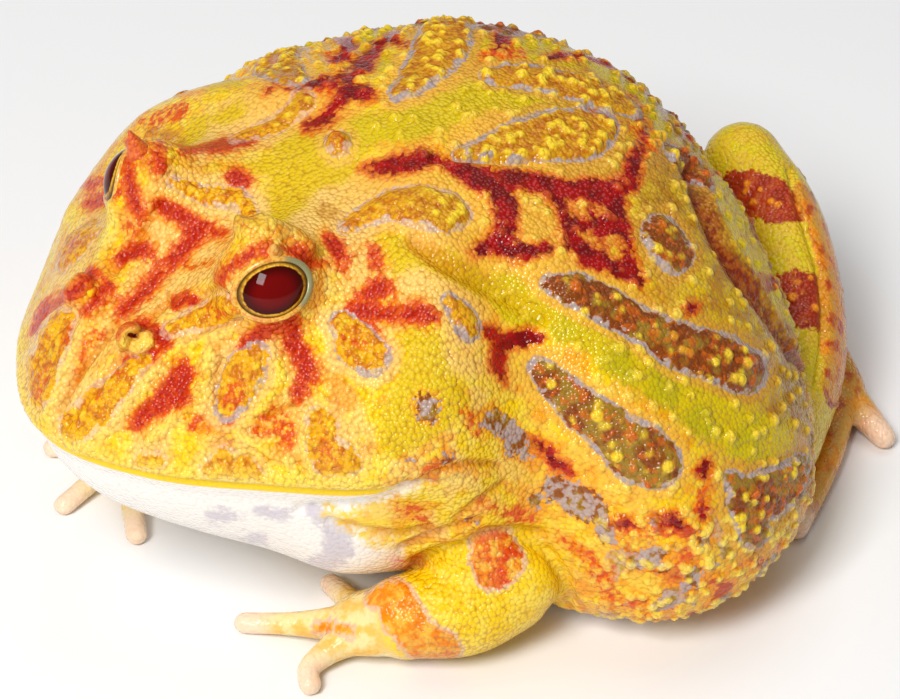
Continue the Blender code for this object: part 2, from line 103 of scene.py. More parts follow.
# Limbs: x, y, z, half width, half height at each joint or knuckle
limbs = {
    "leftUpperArm": [(16, 26, 22, 7, 7), (13, 33.5, 16, 7, 7), (10.6, 38.8, 11, 6.4, 6.4)],
    "leftForearm": [(11.8, 38.6, 9.0, 6.0, 6.4), (17, 37.2, 7.3, 6.2, 6.4), (23.3, 33.2, 5.6, 5.2, 5.2)],
    "leftPalm": [(21, 34, 5.2, 4.4, 4.2), (26, 30, 4.0, 5.0, 3.4), (28.5, 28, 3.2, 4.4, 2.6)],
    "leftFinger1": [(24, 30, 3.4, 2.2, 2.2), (21, 27, 2.4, 1.6, 1.6), (17.5, 23.5, 1.2, 1.4, 1.35)],
    "leftFinger2": [(26, 29, 3.2, 2.2, 2.2), (25, 23, 2.2, 1.6, 1.5), (24.4, 17.5, 1.2, 1.5, 1.35)],
    "leftFinger3": [(28, 28, 3.2, 2.2, 2.2), (33.5, 21.8, 2.0, 1.5, 1.4), (37.8, 17.2, 1.2, 1.5, 1.35)],
    "leftFinger4": [(28, 30, 3.2, 2.2, 2.2), (33.5, 29.3, 2.2, 1.6, 1.5), (36.6, 30, 1.5, 1.4, 1.3),
                    (37.6, 32, 1.1, 1.5, 1.3)],
    "rightUpperArm": [(14, -28, 22, 7, 7), (10, -36, 16, 7, 7), (9, -41, 11, 6.6, 6.6)],
    "rightForearm": [(10, -41, 9.5, 6.4, 6.4), (19, -34, 8.2, 6.4, 6.2), (26, -25.5, 5.8, 5.0, 4.8)],
    "rightPalm": [(25, -27, 5.2, 4.4, 4.2), (30, -22, 4.0, 5.0, 3.4), (32.5, -20, 3.2, 4.4, 2.6)],
    "rightFinger1": [(29, -21, 3.4, 2.2, 2.2), (27, -17, 2.4, 1.6, 1.6), (25, -12, 1.2, 1.4, 1.35)],
    "rightFinger2": [(31, -20, 3.2, 2.2, 2.2), (36, -13, 2.2, 1.6, 1.5), (39.6, -6, 1.2, 1.5, 1.35)],
    "rightFinger3": [(32, -20, 3.2, 2.2, 2.2), (38.5, -18.6, 2.0, 1.5, 1.4), (44.2, -17.2, 1.2, 1.5, 1.35)],
    "rightFinger4": [(31, -22, 3.2, 2.2, 2.2), (35.5, -25.5, 2.2, 1.6, 1.5), (39, -29, 1.2, 1.5, 1.3)],
    "leftThigh": [(-43, 4, 21, 7.5, 7.5), (-42.5, 15, 17.5, 7.5, 8), (-39.5, 26, 13.5, 7.5, 8),
                  (-34, 36, 11, 7, 7)],
    "leftShank": [(-34, 38, 11, 6.3, 6.6), (-46, 28.5, 13.5, 6.8, 7.2), (-52.5, 19.5, 17.5, 7, 7.6),
                  (-57, 9.6, 22.2, 6.8, 7.4), (-58.8, 1.4, 26.2, 5.8, 5.8)],
    "leftSole": [(-60.5, 1.5, 20.5, 3.8, 3.8), (-64.6, 7.4, 13.5, 3.4, 3.8), (-58.9, 18, 7.5, 3.2, 3.4),
                 (-54.4, 28, 4, 4.4, 3)],
    "leftToe1": [(-55.5, 29, 3.4, 2.6, 2.6), (-54.8, 38, 1.5, 1.7, 1.65)],
    "leftToe2": [(-55, 29, 3.6, 2.6, 2.6), (-43, 38.8, 2.4, 1.9, 1.8), (-32, 45.6, 1.5, 1.6, 1.6)],
    "leftToe3": [(-55, 28, 3.6, 2.6, 2.6), (-43, 33.5, 2.2, 1.8, 1.7), (-31, 37.5, 1.3, 1.5, 1.45)],
    "leftToe4": [(-56, 27, 3.4, 2.4, 2.4), (-48, 28.5, 2.0, 1.7, 1.6), (-41, 29.5, 1.3, 1.5, 1.45)],
    "rightThigh": [(-43, -7, 21, 7.5, 7.5), (-41.5, -18, 17.5, 7.5, 8), (-38, -29, 13.5, 7.5, 8),
                   (-33, -39, 11, 7, 7)],
    "rightShank": [(-34, -41, 11, 6.3, 6.6), (-44, -34.5, 12.5, 6.8, 7.2), (-50.5, -26.5, 14.5, 7, 7.4),
                   (-55, -17.5, 16.5, 6.4, 6.6), (-57, -10.5, 17.5, 5, 5)],
    "rightSole": [(-58.5, -11.5, 13.5, 3.8, 3.8), (-62.5, -19, 10, 3.4, 3.8), (-59, -30, 6.5, 3.4, 3.4),
                  (-52, -39, 4, 4.6, 3)],
    "rightToe1": [(-52, -39, 3.4, 2.6, 2.6), (-50, -48, 1.5, 1.7, 1.65)],
    "rightToe2": [(-51, -39, 3.6, 2.6, 2.6), (-39, -48, 2.4, 1.9, 1.8), (-28, -55, 1.5, 1.6, 1.6)],
    "rightToe3": [(-51, -38, 3.6, 2.6, 2.6), (-40, -42.5, 2.2, 1.8, 1.7), (-29, -46, 1.3, 1.5, 1.45)],
    "rightToe4": [(-52, -37, 3.4, 2.4, 2.4), (-45, -37.5, 2.0, 1.7, 1.6), (-38, -38, 1.3, 1.5, 1.45)],
}

eye = {
    "radius": 5.8,
    "rightMiddle": np.array([29.7, -11.8, 49.2]),  # the photograph shows it nearer the midline
    "gaze": np.array([0.37, 0.81, 0.43]),
    "rightGaze": np.array([0.57, -0.68, 0.43]),
    "corneaRadius": 5.2,
    "corneaAhead": 1.7,
    "lidRadius": 6.75,
    "opening": (4.7, 3.6),
    "tilt": 12.0,  # degrees the opening turns about the gaze, its rear corner up
    "pupil": (3.8, 2.85),
    "rimThickness": 0.3,
}

nostril = {"pixel": (134.7, 338.4), "at": np.array([44.6, 5.7, 43.0]), "base": 2.1,
           "ring": (1.8, 1.5), "height": 1.25, "farHeight": 0.5, "slit": (1.0, 0.42), "depth": 0.8}
horn = {
    "left": {"base": np.array([29.8, 15.4, 54.0]), "tip": np.array([31.2, 17.9, 58.2]), "radius": 1.6},
    "right": {"base": np.array([31.3, -12.0, 54.4]), "tip": np.array([32.5, -12.8, 59.0]), "radius": 2.0},
}

skin = {
    "voxel": 0.45,
    "mostTriangles": 197000,
    "evenRounds": 3,
    "joinRounds": 34,
    "patchRise": 0.28,
    "patchGroove": 0.16,
    "ridgeRise": 1.5,  # times the ridge's own height
    "mouthDepth": 0.6,
}

# Where limbs run into the body: x, y, z and reach of the smoothing
softJoins = {
    "leftArmpit": (14, 37, 12, 9),
    "leftChest": (22, 30, 10, 8),
    "rightArmpit": (13, -38, 13, 10),
    "rightChest": (24, -29, 10, 8),
    "leftWrist": (24, 32, 5, 5),
    "rightWrist": (28, -25, 5, 5),
    "leftGroin": (-38, 30, 12, 10),
    "rightGroin": (-38, -32, 12, 10),
    "leftBrow": (29, 13, 49, 12),
    "rightBrow": (29, -11.5, 49, 12),
    "leftHeel": (-60, 2, 21, 7),
    "rightHeel": (-58, -12, 15, 7),
}


def through(stations, at):
    # Cubic between stations: value and fitted slope at both ends of a span, blended by t squared and cubed
    table = np.array(stations, float)
    place, value = table[:, 0], table[:, 1:]
    slope = np.gradient(value, place, axis=0)
    at = np.clip(np.asarray(at, float), place[0], place[-1])
    i = np.clip(np.searchsorted(place, at, side="right") - 1, 0, len(place) - 2)
    span = (place[i + 1] - place[i])[..., None]
    t = (at[..., None] - place[i][..., None]) / span
    made = ((1 + 2 * t) * (1 - t) ** 2 * value[i] + t * (1 - t) ** 2 * span * slope[i]
            + t * t * (3 - 2 * t) * value[i + 1] + t * t * (t - 1) * span * slope[i + 1])
    return made[..., 0] if value.shape[1] == 1 else made


def ease(start, end, x):
    # 0 before start, 1 after end, 3t squared minus 2t cubed between
    t = np.clip((x - start) / (end - start), 0, 1)
    return t * t * (3 - 2 * t)


def unit(vectors):
    # Each vector over its own length
    return vectors / np.linalg.norm(vectors, axis=-1, keepdims=True)


def fullTurn(count):
    # Even angles round a circle
    return np.arange(count) * 2 * math.pi / count


def alongSpan(points, a, b):
    # How far along the span from a to b each point lies, 0 to 1, and its distance from there
    span = b - a
    t = np.clip(((points - a) @ span) / max(span @ span, 1e-6), 0, 1)
    return t, np.linalg.norm(points - a - t[:, None] * span, axis=1)


def nearBox(points, corners, margin):
    # Numbers of the points inside the corners' box widened by the margin
    return np.where(((points > corners.min(0) - margin) & (points < corners.max(0) + margin)).all(1))[0]


def lipHeight(x):
    # The front height less a slope times the distance behind the snout
    return body["lipFrontHeight"] - body["lipSlope"] * (body["snoutX"] - x)


def bodyPoints(turn, level):
    # Radius by the angle in plan times a cosine power of the level, height a sine power, plus round swellings
    side = np.abs(turn)
    upper = level >= 0
    fullness = np.where(upper, through(body["upperFullness"], side), through(body["lowerFullness"], side))
    bend = np.abs(level) * math.pi / 2
    reach = np.cos(bend).clip(0) ** (2 / fullness)
    rise = np.sin(bend) ** (2 / fullness)
    mouth = ease(75, 55, side)
    radius = through(body["outline"], side)
    radius = radius - body["lipOverhang"] * mouth * np.where(upper, 0, ease(0, -0.08, level))
    radius = radius + body["lipSwell"] * mouth * np.where(upper, ease(0.1, 0.03, level), 0)
    x = radius * reach * np.cos(np.radians(turn))
    y = radius * reach * np.sin(np.radians(turn))
    edge = radius * np.cos(np.radians(turn))
    middle = (body["flankHeight"] + (lipHeight(edge) - body["flankHeight"]) * ease(5, 24, edge)
              + (body["rumpHeight"] - body["flankHeight"]) * ease(-20, -50, edge))
    top = through(body["ceiling"], x)
    bottom = -body["bellySink"] + body["chinHeight"] * ease(body["chestX"], body["chinX"], x)
    z = np.where(upper, middle + (top - middle) * rise, middle - (middle - bottom) * rise)
    swell = np.zeros_like(z)
    for atX, atY, spreadX, spreadY, height in relief.values():
        swell += height * np.exp(-(((x - atX) / spreadX) ** 2 + ((y - atY) / spreadY) ** 2) / 2)
    return np.stack([x, y, z + np.where(upper, swell * ease(0, 0.25, level), 0)], -1)


def closedTube(rings, start, end):
    # Quads between neighbouring rings and a fan to a point at each end: (points, faces)
    count, sides = rings.shape[:2]
    side = np.arange(sides)
    beside = (side + 1) % sides
    step = np.arange(count - 1)[:, None] * sides
    quads = np.stack([step + side, step + beside, step + sides + beside, step + sides + side], -1)
    last = (count - 1) * sides
    fans = [np.stack([np.full(sides, count * sides), beside, side], -1),
            np.stack([np.full(sides, count * sides + 1), last + side, last + beside], -1)]
    faces = quads.reshape(-1, 4).tolist() + fans[0].tolist() + fans[1].tolist()
    return np.vstack([rings.reshape(-1, 3), start, end]), faces


def bodyForm():
    # Rings of the body from below to above, closest together at the mouth
    levels = np.concatenate([-np.linspace(body["lastLevel"], 0.1, body["rows"] // 2),
                             np.linspace(-0.09, 0.11, body["mouthRows"]),
                             np.linspace(0.13, body["lastLevel"], body["rows"])])
    turn, level = np.meshgrid(np.arange(body["columns"]) * 360 / body["columns"] - 180, levels)
    ends = bodyPoints(np.zeros(2), np.array([-1.0, 1.0]))
    return closedTube(bodyPoints(turn, level), ends[0], ends[1])


def limbForm(joints, sides=28, steps=44, capRings=7):
    # Ellipse of the stations' half sizes carried along a smooth curve, with a round cap at each end
    joints = np.array(joints, float)
    along = np.concatenate([[0], np.cumsum(np.linalg.norm(np.diff(joints[:, :3], axis=0), axis=1))])
    dense = through(np.column_stack([along, joints]), np.linspace(0, along[-1], steps))
    centre, size = dense[:, :3], dense[:, 3:]
    ahead = unit(np.gradient(centre, axis=0))
    across = unit(np.cross([0, 0, 1], ahead))
    lift = np.cross(ahead, across)
    capAngle = np.radians(np.linspace(80, 10, capRings))
    first = np.repeat(0, capRings)
    frames = np.concatenate([first, np.arange(steps), first + steps - 1])
    slide = np.concatenate([-np.sin(capAngle) * size[0].min(), np.zeros(steps),
                            np.sin(capAngle[::-1]) * size[-1].min()])
    shrink = np.concatenate([np.cos(capAngle), np.ones(steps), np.cos(capAngle[::-1])])
    place = centre[frames] + ahead[frames] * slide[:, None]
    half = size[frames] * shrink[:, None]
    angle = fullTurn(sides)
    rings = (place[:, None] + np.cos(angle)[:, None] * (half[:, :1] * across[frames])[:, None]
             + np.sin(angle)[:, None] * (half[:, 1:] * lift[frames])[:, None])
    return closedTube(rings, centre[0] - ahead[0] * size[0].min(), centre[-1] + ahead[-1] * size[-1].min())


def ballForm(centre, radius, columns=64, rows=40):
    # Longitude by latitude: radius times (cos, sin) cos and sin
    tall = np.linspace(-math.pi / 2, math.pi / 2, rows)[1:-1, None]
    turn = fullTurn(columns)
    rings = np.stack([np.cos(turn) * np.cos(tall), np.sin(turn) * np.cos(tall), np.sin(tall) + 0 * turn], -1)
    up = np.array([0, 0, radius])
    return closedTube(centre + radius * rings, centre - up, centre + up)


def joined(forms):
    # The forms' points one after another, their faces counted on
    points, faces, count = [], [], 0
    for place, quads in forms:
        faces += [[index + count for index in face] for face in quads]
        points.append(place)
        count += len(place)
    return np.vstack(points), faces


def placed(name, data):
    made = bpy.data.objects.new(name, data)
    bpy.context.scene.collection.objects.link(made)
    return made


def newPiece(name, points, faces):
    # An object from points in the frog's frame, moved into the shared frame's metres
    mesh = bpy.data.meshes.new(name)
    mesh.from_pydata(((points + shift) * mm).tolist(), [], faces)
    mesh.validate()
    return placed(name, mesh)


def settled(piece):
    # The mesh with its modifiers applied
    graph = bpy.context.evaluated_depsgraph_get()
    made = bpy.data.meshes.new_from_object(piece.evaluated_get(graph))
    piece.modifiers.clear()
    old = piece.data
    piece.data = made
    bpy.data.meshes.remove(old)
    return made


def readAll(items, name, width, kind=float):
    flat = np.empty(len(items) * width, kind)
    items.foreach_get(name, flat)
    return flat.reshape(-1, width)


def pointsOf(mesh):
    # A mesh's points back in the frog's frame; putPoints moves them out again
    return readAll(mesh.vertices, "co", 3) / mm - shift


def putPoints(mesh, points):
    mesh.vertices.foreach_set("co", ((points + shift) * mm).ravel())
    mesh.update()


def keepField(mesh, name, values):
    # A number at every point, which the materials read by its name
    mesh.attributes.new(name, "FLOAT", "POINT").data.foreach_set("value", values.astype(np.float32))


def evened(points, edges, weight, rounds):
    # Each round moves a point towards the mean of its neighbours by its weight
    a, b = np.concatenate([edges[:, 0], edges[:, 1]]), np.concatenate([edges[:, 1], edges[:, 0]])
    count = np.bincount(a, minlength=len(points)).clip(1)[:, None]
    for _ in range(rounds):
        mean = np.stack([np.bincount(a, points[b, k], len(points)) for k in range(3)], -1) / count
        points = points + (mean - points) * weight[:, None]
    return points


def photoPlace(points):
    # Pixels of points: focal length times the sideways and upward offset over the depth
    offset = points - lensAt
    depth = offset @ -sight
    return np.stack([photo["width"] / 2 + photo["focal"] * (offset @ rightward) / depth,
                     photo["height"] / 2 - photo["focal"] * (offset @ upward) / depth], -1)


def seatOf(tree, x, y):
    # Place and normal where the sight line through a pixel meets the skin. For a line that misses it,
    # the skin's point nearest to where the line passes the frog
    ray = unit(-sight + rightward * (x - photo["width"] / 2) / photo["focal"]
               - upward * (y - photo["height"] / 2) / photo["focal"])
    start = Vector((lensAt + shift) * mm)
    hit, normal = tree.ray_cast(start, Vector(ray))[:2]
    if hit is None:
        hit, normal = tree.find_nearest(start + Vector(ray) * photo["distance"] * mm)[:2]
    return np.array(hit) / mm - shift, np.array(normal)


# Depth in millimetres where a marking doesn't reach, and how far one sinks on a side the photograph sees
outside, sunk = -3.0, 9.0


def chainDepth(tree, places, points, chain):
    # Radius minus distance to the chain, the deepest link kept: in the photograph's plane, but only where
    # the skin is near the chain in space too
    table = np.array(chain, float)
    near = nearBox(places, table[:, :2], table[:, 2].max() + 3 / pixelSize)
    best = np.full(len(points), outside)
    flatPoints, solidPoints, deepest = places[near], points[near], best[near]
    seats = [seatOf(tree, x, y)[0] for x, y in table[:, :2]]
    for i, j in list(zip(range(len(chain) - 1), range(1, len(chain)))) or [(0, 0)]:
        t, away = alongSpan(flatPoints, table[i, :2], table[j, :2])
        radius = table[i, 2] + t * (table[j, 2] - table[i, 2])
        seat = seats[i] + t[:, None] * (seats[j] - seats[i])
        around = 2.2 * radius * pixelSize + 1.6 - np.linalg.norm(solidPoints - seat, axis=1)
        deepest = np.maximum(deepest, np.minimum((radius - away) * pixelSize, around))
    best[near] = deepest
    return best


def formDepth(points, chain):
    # Radius minus distance to a line over the body's form through the chain, four links for each of its own
    table = np.array(chain, float)
    turn, level, radius = through(np.column_stack([np.arange(len(table)), table]),
                                  np.linspace(0, len(table) - 1, 4 * len(table) - 3)).T
    seats = bodyPoints(turn, level)
    near = nearBox(points, seats, 8)
    best = np.full(len(points), outside)
    for a, b, wide, wider in zip(seats[:-1], seats[1:], radius[:-1], radius[1:]):
        t, away = alongSpan(points[near], a, b)
        best[near] = np.maximum(best[near], wide + t * (wider - wide) - away)
    return best


def bandDepth(points, normals):
    # Half width minus the distance along the limb from the band's middle, on that limb's surface only
    made = np.full(len(points), outside)
    for name, bands in hiddenBands.items():
        line, start = np.array(limbs[name], float), 0
        for a, b in zip(line[:-1], line[1:]):
            length = np.linalg.norm(b[:3] - a[:3])
            t, away = alongSpan(points, a[:3], b[:3])
            over = away - a[3:].max() - t * (b - a)[3:].max()
            for place, half in bands:
                across = half - np.abs(start + t * length - place)
                made = np.maximum(made, np.where(over < 1.2, across, outside))
            start += length
    return made - sunk * ease(0.0, 0.2, normals @ sight) * (points[:, 1] > 0)


def hashed(cells, seed):
    # Four numbers from 0 to 1 for each whole-number cell, by mixing its bits
    c = cells.astype(np.int64).astype(np.uint32)
    mixers = np.array([73856093, 19349663, 83492791], np.uint32)
    mixed = np.bitwise_xor.reduce(c * mixers, axis=1)
    mixed = mixed + np.uint32(seed * 2654435 + 1)
    made = []
    for k in range(4):
        mixed = (mixed ^ (mixed >> np.uint32(15))) * np.uint32(2246822519 + 2 * k)
        mixed = (mixed ^ (mixed >> np.uint32(13))) * np.uint32(3266489917)
        mixed = mixed ^ (mixed >> np.uint32(16))
        made.append(mixed / 4294967295.0)
    return np.stack(made, -1)


warts = {
    "big": {"spacing": 2.9, "share": 0.85, "radius": (0.75, 1.15), "seed": 11},
    "small": {"spacing": 2.5, "share": 0.9, "radius": (0.7, 1.15), "seed": 12},
}


def domes(points, normals, spacing, share, radius, seed):
    # One dome in a share of the cells: (1 - (distance / radius) squared) to the 1.3. The highest is kept,
    # with a chance number of its own
    height, chance = np.zeros(len(points)), np.zeros(len(points))
    home = np.floor(points / spacing)
    for step in itertools.product((-1, 0, 1), repeat=3):
        cell = home + np.array(step)
        draw = hashed(cell, seed)
        offset = points - (cell + 0.1 + 0.8 * draw[:, :3]) * spacing
        along = (offset * normals).sum(1)
        far2 = (offset ** 2).sum(1) - 0.8 * along ** 2
        size = radius[0] + (radius[1] - radius[0]) * ((draw[:, 3] * 7.3) % 1)
        here = np.where(draw[:, 3] < share, (1 - far2 / size ** 2).clip(0) ** 1.3, 0)
        chance = np.where(here > height, (draw[:, 3] * 13.7) % 1, chance)
        height = np.maximum(height, here)
    return height, chance


# Markings as chains of (x, y, radius) in the photograph's pixels. Those under "both" also go on the far side
markings = {
    "crimson": {"one": [
        [(161, 205, 6), (176, 212, 7), (198, 226, 9), (216, 232, 5), (223, 232, 3)],
        [(198, 232, 7), (184, 249, 5), (170, 262, 6), (147, 290, 6), (122, 312, 5)],
        [(119, 258, 4), (134, 251, 6), (147, 249, 4)], [(174, 304, 4), (190, 299, 5)],
        [(117, 334, 3), (128, 325, 4), (147, 324, 4), (160, 334, 6), (166, 345, 5)],
        [(124, 361, 3), (138, 361, 5), (153, 356, 5)], [(87, 311, 4), (99, 297, 5), (108, 285, 4)],
        [(36, 330, 2), (44, 313, 5), (58, 302, 5), (80, 290, 4), (93, 277, 3)],
        [(94, 186, 4), (102, 182, 4)], [(92, 206, 3), (105, 200, 4), (115, 193, 3)],
        [(242, 352, 5), (252, 341, 6), (263, 331, 6), (276, 328, 4)],
        [(289, 320, 6), (295, 345, 8), (306, 364, 9), (306, 380, 9), (298, 392, 8)],
        [(184, 372, 9), (175, 388, 12), (182, 398, 7)],
        [(172, 392, 10), (160, 403, 8), (145, 415, 6), (137, 424, 4)], [(229, 420, 6)],
        [(393, 36, 5), (376, 52, 8), (362, 66, 8), (350, 78, 7), (346, 92, 8)],
        [(325, 80, 5), (346, 76, 7)], [(346, 92, 9), (366, 92, 8), (375, 93, 4)],
        [(346, 95, 9), (338, 104, 9), (325, 117, 8), (308, 125, 6)],
        [(489, 15, 6), (499, 28, 8), (503, 38, 9), (499, 51, 7)],
        [(570, 94, 3), (593, 94, 4), (616, 97, 4), (632, 105, 5), (642, 123, 5), (641, 145, 6),
         (634, 163, 7), (629, 179, 8)],
        [(366, 168, 6), (387, 168, 8), (415, 163, 9), (433, 157, 7), (458, 166, 9), (484, 179, 12),
         (504, 179, 11), (545, 184, 9), (576, 191, 12), (606, 191, 14), (629, 184, 9)],
        [(499, 184, 12), (507, 209, 12), (507, 230, 14), (495, 245, 10), (480, 251, 8)],
        [(495, 245, 9), (504, 250, 8), (530, 252, 8), (546, 248, 5)],
        [(545, 184, 9), (560, 205, 8), (573, 240, 8), (586, 254, 9), (616, 268, 9), (640, 281, 7)],
        [(606, 191, 11), (624, 217, 7), (626, 242, 7), (632, 268, 7)], [(576, 225, 9), (616, 224, 9)],
        [(590, 206, 6), (602, 242, 5)], [(184, 151, 3), (210, 147, 3), (230, 142, 5), (250, 142, 3)],
        [(268, 94, 3), (280, 80, 4), (292, 68, 3)], [(286, 88, 3), (306, 82, 5), (325, 80, 6)],
        [(241, 182, 8), (236, 176, 5)], [(158, 154, 5), (161, 168, 5)],
        [(130, 146, 3), (129, 165, 4), (130, 185, 4), (135, 203, 5), (141, 213, 3)],
    ], "both": [
        [(326, 238, 5), (334, 246, 9), (340, 259, 8), (343, 272, 4)],
        [(316, 263, 4), (326, 262, 5), (334, 256, 6)], [(374, 250, 4), (377, 265, 5)],
        [(369, 293, 7), (381, 287, 9)], [(488, 332, 8), (502, 341, 9), (524, 337, 10), (540, 338, 5)],
        [(500, 345, 7), (497, 366, 7), (504, 380, 4)], [(398, 314, 6), (420, 312, 7), (436, 318, 5)],
        [(352, 308, 5), (368, 312, 8), (384, 316, 6), (398, 314, 5)],
        [(354, 320, 4), (370, 331, 8), (381, 352, 8)],
        [(510, 437, 6), (543, 446, 8), (554, 459, 9), (572, 472, 5)], [(617, 524, 7), (633, 524, 7)],
        [(657, 522, 9), (674, 519, 7), (688, 530, 6)], [(702, 472, 8), (708, 462, 5)],
        [(704, 500, 4), (702, 515, 4)],
        [(221, 281, 3), (225, 270, 5), (241, 261, 4), (256, 254, 4), (268, 250, 2)],
        [(292, 250, 2), (304, 257, 4), (314, 262, 4)], [(690, 307, 4)],
    ]},
    "rust": {"one": [
        [(99, 334, 5), (83, 352, 6), (74, 375, 6), (67, 395, 5)],
        [(78, 418, 7), (90, 402, 7), (98, 396, 6)], [(112, 372, 8), (126, 374, 6)],
        [(52, 370, 7), (44, 392, 8), (42, 402, 5)], [(66, 350, 4), (72, 330, 5)],
        [(80, 240, 6), (66, 258, 7)], [(128, 225, 7), (140, 236, 6)],
        [(150, 122, 5), (168, 114, 6), (182, 110, 5)], [(258, 68, 6), (276, 64, 7)],
        [(150, 160, 9), (164, 176, 9)], [(212, 310, 7), (228, 312, 6)], [(186, 268, 8), (212, 262, 6)],
        [(480, 62, 7), (500, 56, 7), (520, 58, 5)], [(325, 88, 7), (312, 96, 6)],
        [(334, 142, 8), (342, 149, 7)],
    ], "both": [
        [(237, 388, 14), (230, 404, 13)], [(258, 428, 9), (275, 418, 14), (292, 440, 9)],
        [(195, 425, 10), (215, 425, 9), (228, 440, 8)], [(322, 443, 10), (335, 452, 10)],
        [(364, 292, 11), (352, 300, 9), (372, 304, 11), (388, 300, 12)], [(352, 338, 10), (366, 345, 12)],
        [(466, 412, 8), (477, 430, 9)], [(520, 442, 10), (545, 452, 12), (566, 470, 11)],
        [(565, 538, 8), (592, 560, 9), (603, 574, 9), (608, 598, 8), (636, 604, 7)],
        [(600, 525, 8), (640, 530, 10), (680, 526, 10)], [(668, 577, 6), (682, 560, 7), (700, 545, 7)],
        [(399, 508, 8), (412, 515, 10), (424, 523, 7)], [(394, 552, 5), (408, 558, 7), (418, 560, 5)],
        [(353, 520, 6)], [(430, 470, 9), (445, 462, 8)], [(480, 505, 6), (500, 512, 7), (530, 516, 6)],
        [(705, 492, 9), (690, 512, 8)],
    ]},
    "gold": {"one": [
        (0.1, [(142, 362, 9), (120, 384, 15), (97, 408, 20), (78, 424, 19)]),
        (0.1, [(68, 318, 8), (56, 343, 15), (45, 372, 17), (41, 393, 14)]),
        (0.1, [(92, 228, 9), (76, 244, 14), (62, 261, 10)]),
        (0.1, [(170, 329, 8), (195, 319, 12), (222, 309, 13), (237, 312, 8)]),
        (0.25, [(174, 182, 6), (206, 196, 9), (240, 199, 10), (252, 216, 9), (247, 228, 6)]),
        (0.45, [(396, 92, 8), (413, 80, 14), (431, 62, 20), (447, 44, 25), (457, 31, 18)]),
        (0.5, [(458, 152, 4), (485, 147, 11), (515, 141, 18), (550, 135, 24), (583, 133, 26),
               (598, 130, 19)]),
        (0.3, [(344, 227, 5), (362, 216, 9), (390, 206, 15), (420, 206, 21), (446, 212, 20),
               (456, 215, 15)]),
        (0.2, [(232, 138, 3), (252, 132, 5), (275, 124, 8), (292, 112, 9), (303, 101, 12)]),
        (0.25, [(338, 145, 12)]),
    ], "both": [
        (0.35, [(256, 355, 12), (244, 373, 22), (233, 394, 18), (227, 410, 12)]),
        (0.15, [(141, 461, 8), (157, 461, 8)]),
        (0.15, [(225, 460, 14), (208, 470, 9), (244, 467, 12), (258, 475, 6)]),
        (0.2, [(319, 420, 12), (327, 426, 12), (322, 446, 14), (341, 455, 16), (326, 462, 12),
               (349, 462, 11)]), (0.4, [(448, 298, 6), (462, 315, 12), (470, 330, 11)]),
        (0.35, [(342, 324, 11), (358, 345, 21), (372, 357, 19)]),
        (0.75, [(660, 232, 18), (668, 245, 20), (675, 257, 17)]),
        (0.8, [(550, 283, 9), (575, 290, 16), (605, 304, 18), (635, 321, 16), (665, 340, 19),
               (695, 352, 23), (725, 360, 26), (744, 370, 23)]),
        (0.9, [(540, 368, 11), (560, 388, 17), (585, 410, 21), (612, 432, 24), (640, 453, 31),
               (655, 463, 26)]),
        (0.9, [(732, 478, 8), (748, 500, 20), (768, 494, 24), (790, 480, 17), (802, 462, 8)]),
        (0.9, [(748, 500, 20), (753, 533, 15)]),
    ]},
    "grey": {"both": [
        [(490, 422, 9), (508, 428, 13), (522, 448, 10), (528, 458, 8)],
        [(553, 488, 10), (575, 500, 15), (596, 515, 14), (608, 535, 8)],
        [(640, 565, 7), (655, 552, 10), (662, 571, 8)], [(692, 578, 11)], [(652, 524, 5)], [(703, 540, 6)],
        [(423, 398, 8), (429, 414, 7)], [(445, 450, 6), (447, 462, 6)], [(410, 462, 7)],
        [(465, 520, 4), (477, 522, 5)], [(536, 497, 6)],
    ]},
    "lime": {"one": [
        [(205, 168, 2), (240, 166, 6), (275, 165, 15), (300, 163, 30), (285, 195, 22), (276, 218, 12)],
        [(212, 88, 7), (232, 80, 9)], [(218, 117, 6), (240, 112, 9)],
        [(300, 160, 30), (332, 158, 26), (357, 138, 17), (376, 128, 17), (422, 120, 16), (466, 102, 18),
         (504, 84, 19), (542, 68, 18), (568, 72, 11)],
    ], "both": [
        [(387, 242, 12), (404, 256, 18), (396, 272, 9)],
        [(404, 250, 14), (440, 262, 11), (468, 276, 12), (510, 291, 13), (542, 311, 12), (578, 332, 17),
         (619, 357, 21), (660, 380, 22), (702, 407, 24), (743, 434, 27), (772, 442, 24)],
        [(402, 415, 20), (420, 380, 24), (450, 400, 24), (400, 440, 16)], [(418, 345, 20), (425, 362, 18)],
    ]},
    "peach": {"one": [
        [(150, 225, 25), (200, 250, 35), (150, 290, 25), (110, 330, 14), (70, 400, 5)],
        [(84, 250, 12), (62, 290, 12), (42, 330, 12), (30, 375, 10), (32, 410, 8)],
        [(240, 230, 18), (300, 220, 30), (350, 190, 25), (400, 175, 25), (450, 175, 15)],
        [(515, 192, 7), (528, 210, 14), (540, 228, 12)],
        [(470, 140, 22), (520, 120, 25), (600, 105, 15), (640, 140, 16), (620, 175, 14)],
        [(440, 110, 25), (480, 80, 25), (485, 30, 15)],
        [(340, 120, 25), (280, 110, 30), (220, 130, 25), (200, 150, 15)],
    ], "both": [
        [(345, 235, 15), (360, 262, 22), (350, 285, 14)],
        [(430, 245, 22), (500, 265, 18), (560, 262, 12), (520, 300, 10)],
        [(440, 360, 14), (480, 365, 16), (510, 355, 14)], [(400, 285, 20), (440, 290, 18), (480, 310, 14)],
        [(245, 440, 10), (300, 400, 10)],
    ]},
    "band": {"both": [
        [(692, 180, 14), (735, 190, 19), (775, 200, 22), (798, 205, 16)],
        [(755, 290, 15), (785, 297, 27), (825, 300, 26)],
        [(378, 604, 8), (400, 598, 14), (404, 618, 20), (422, 638, 17), (447, 648, 11)], [(497, 560, 27)],
        [(832, 272, 9)], [(838, 350, 7), (842, 365, 7)], [(835, 398, 9)],
        [(318, 628, 3), (335, 628, 4), (350, 632, 6)],
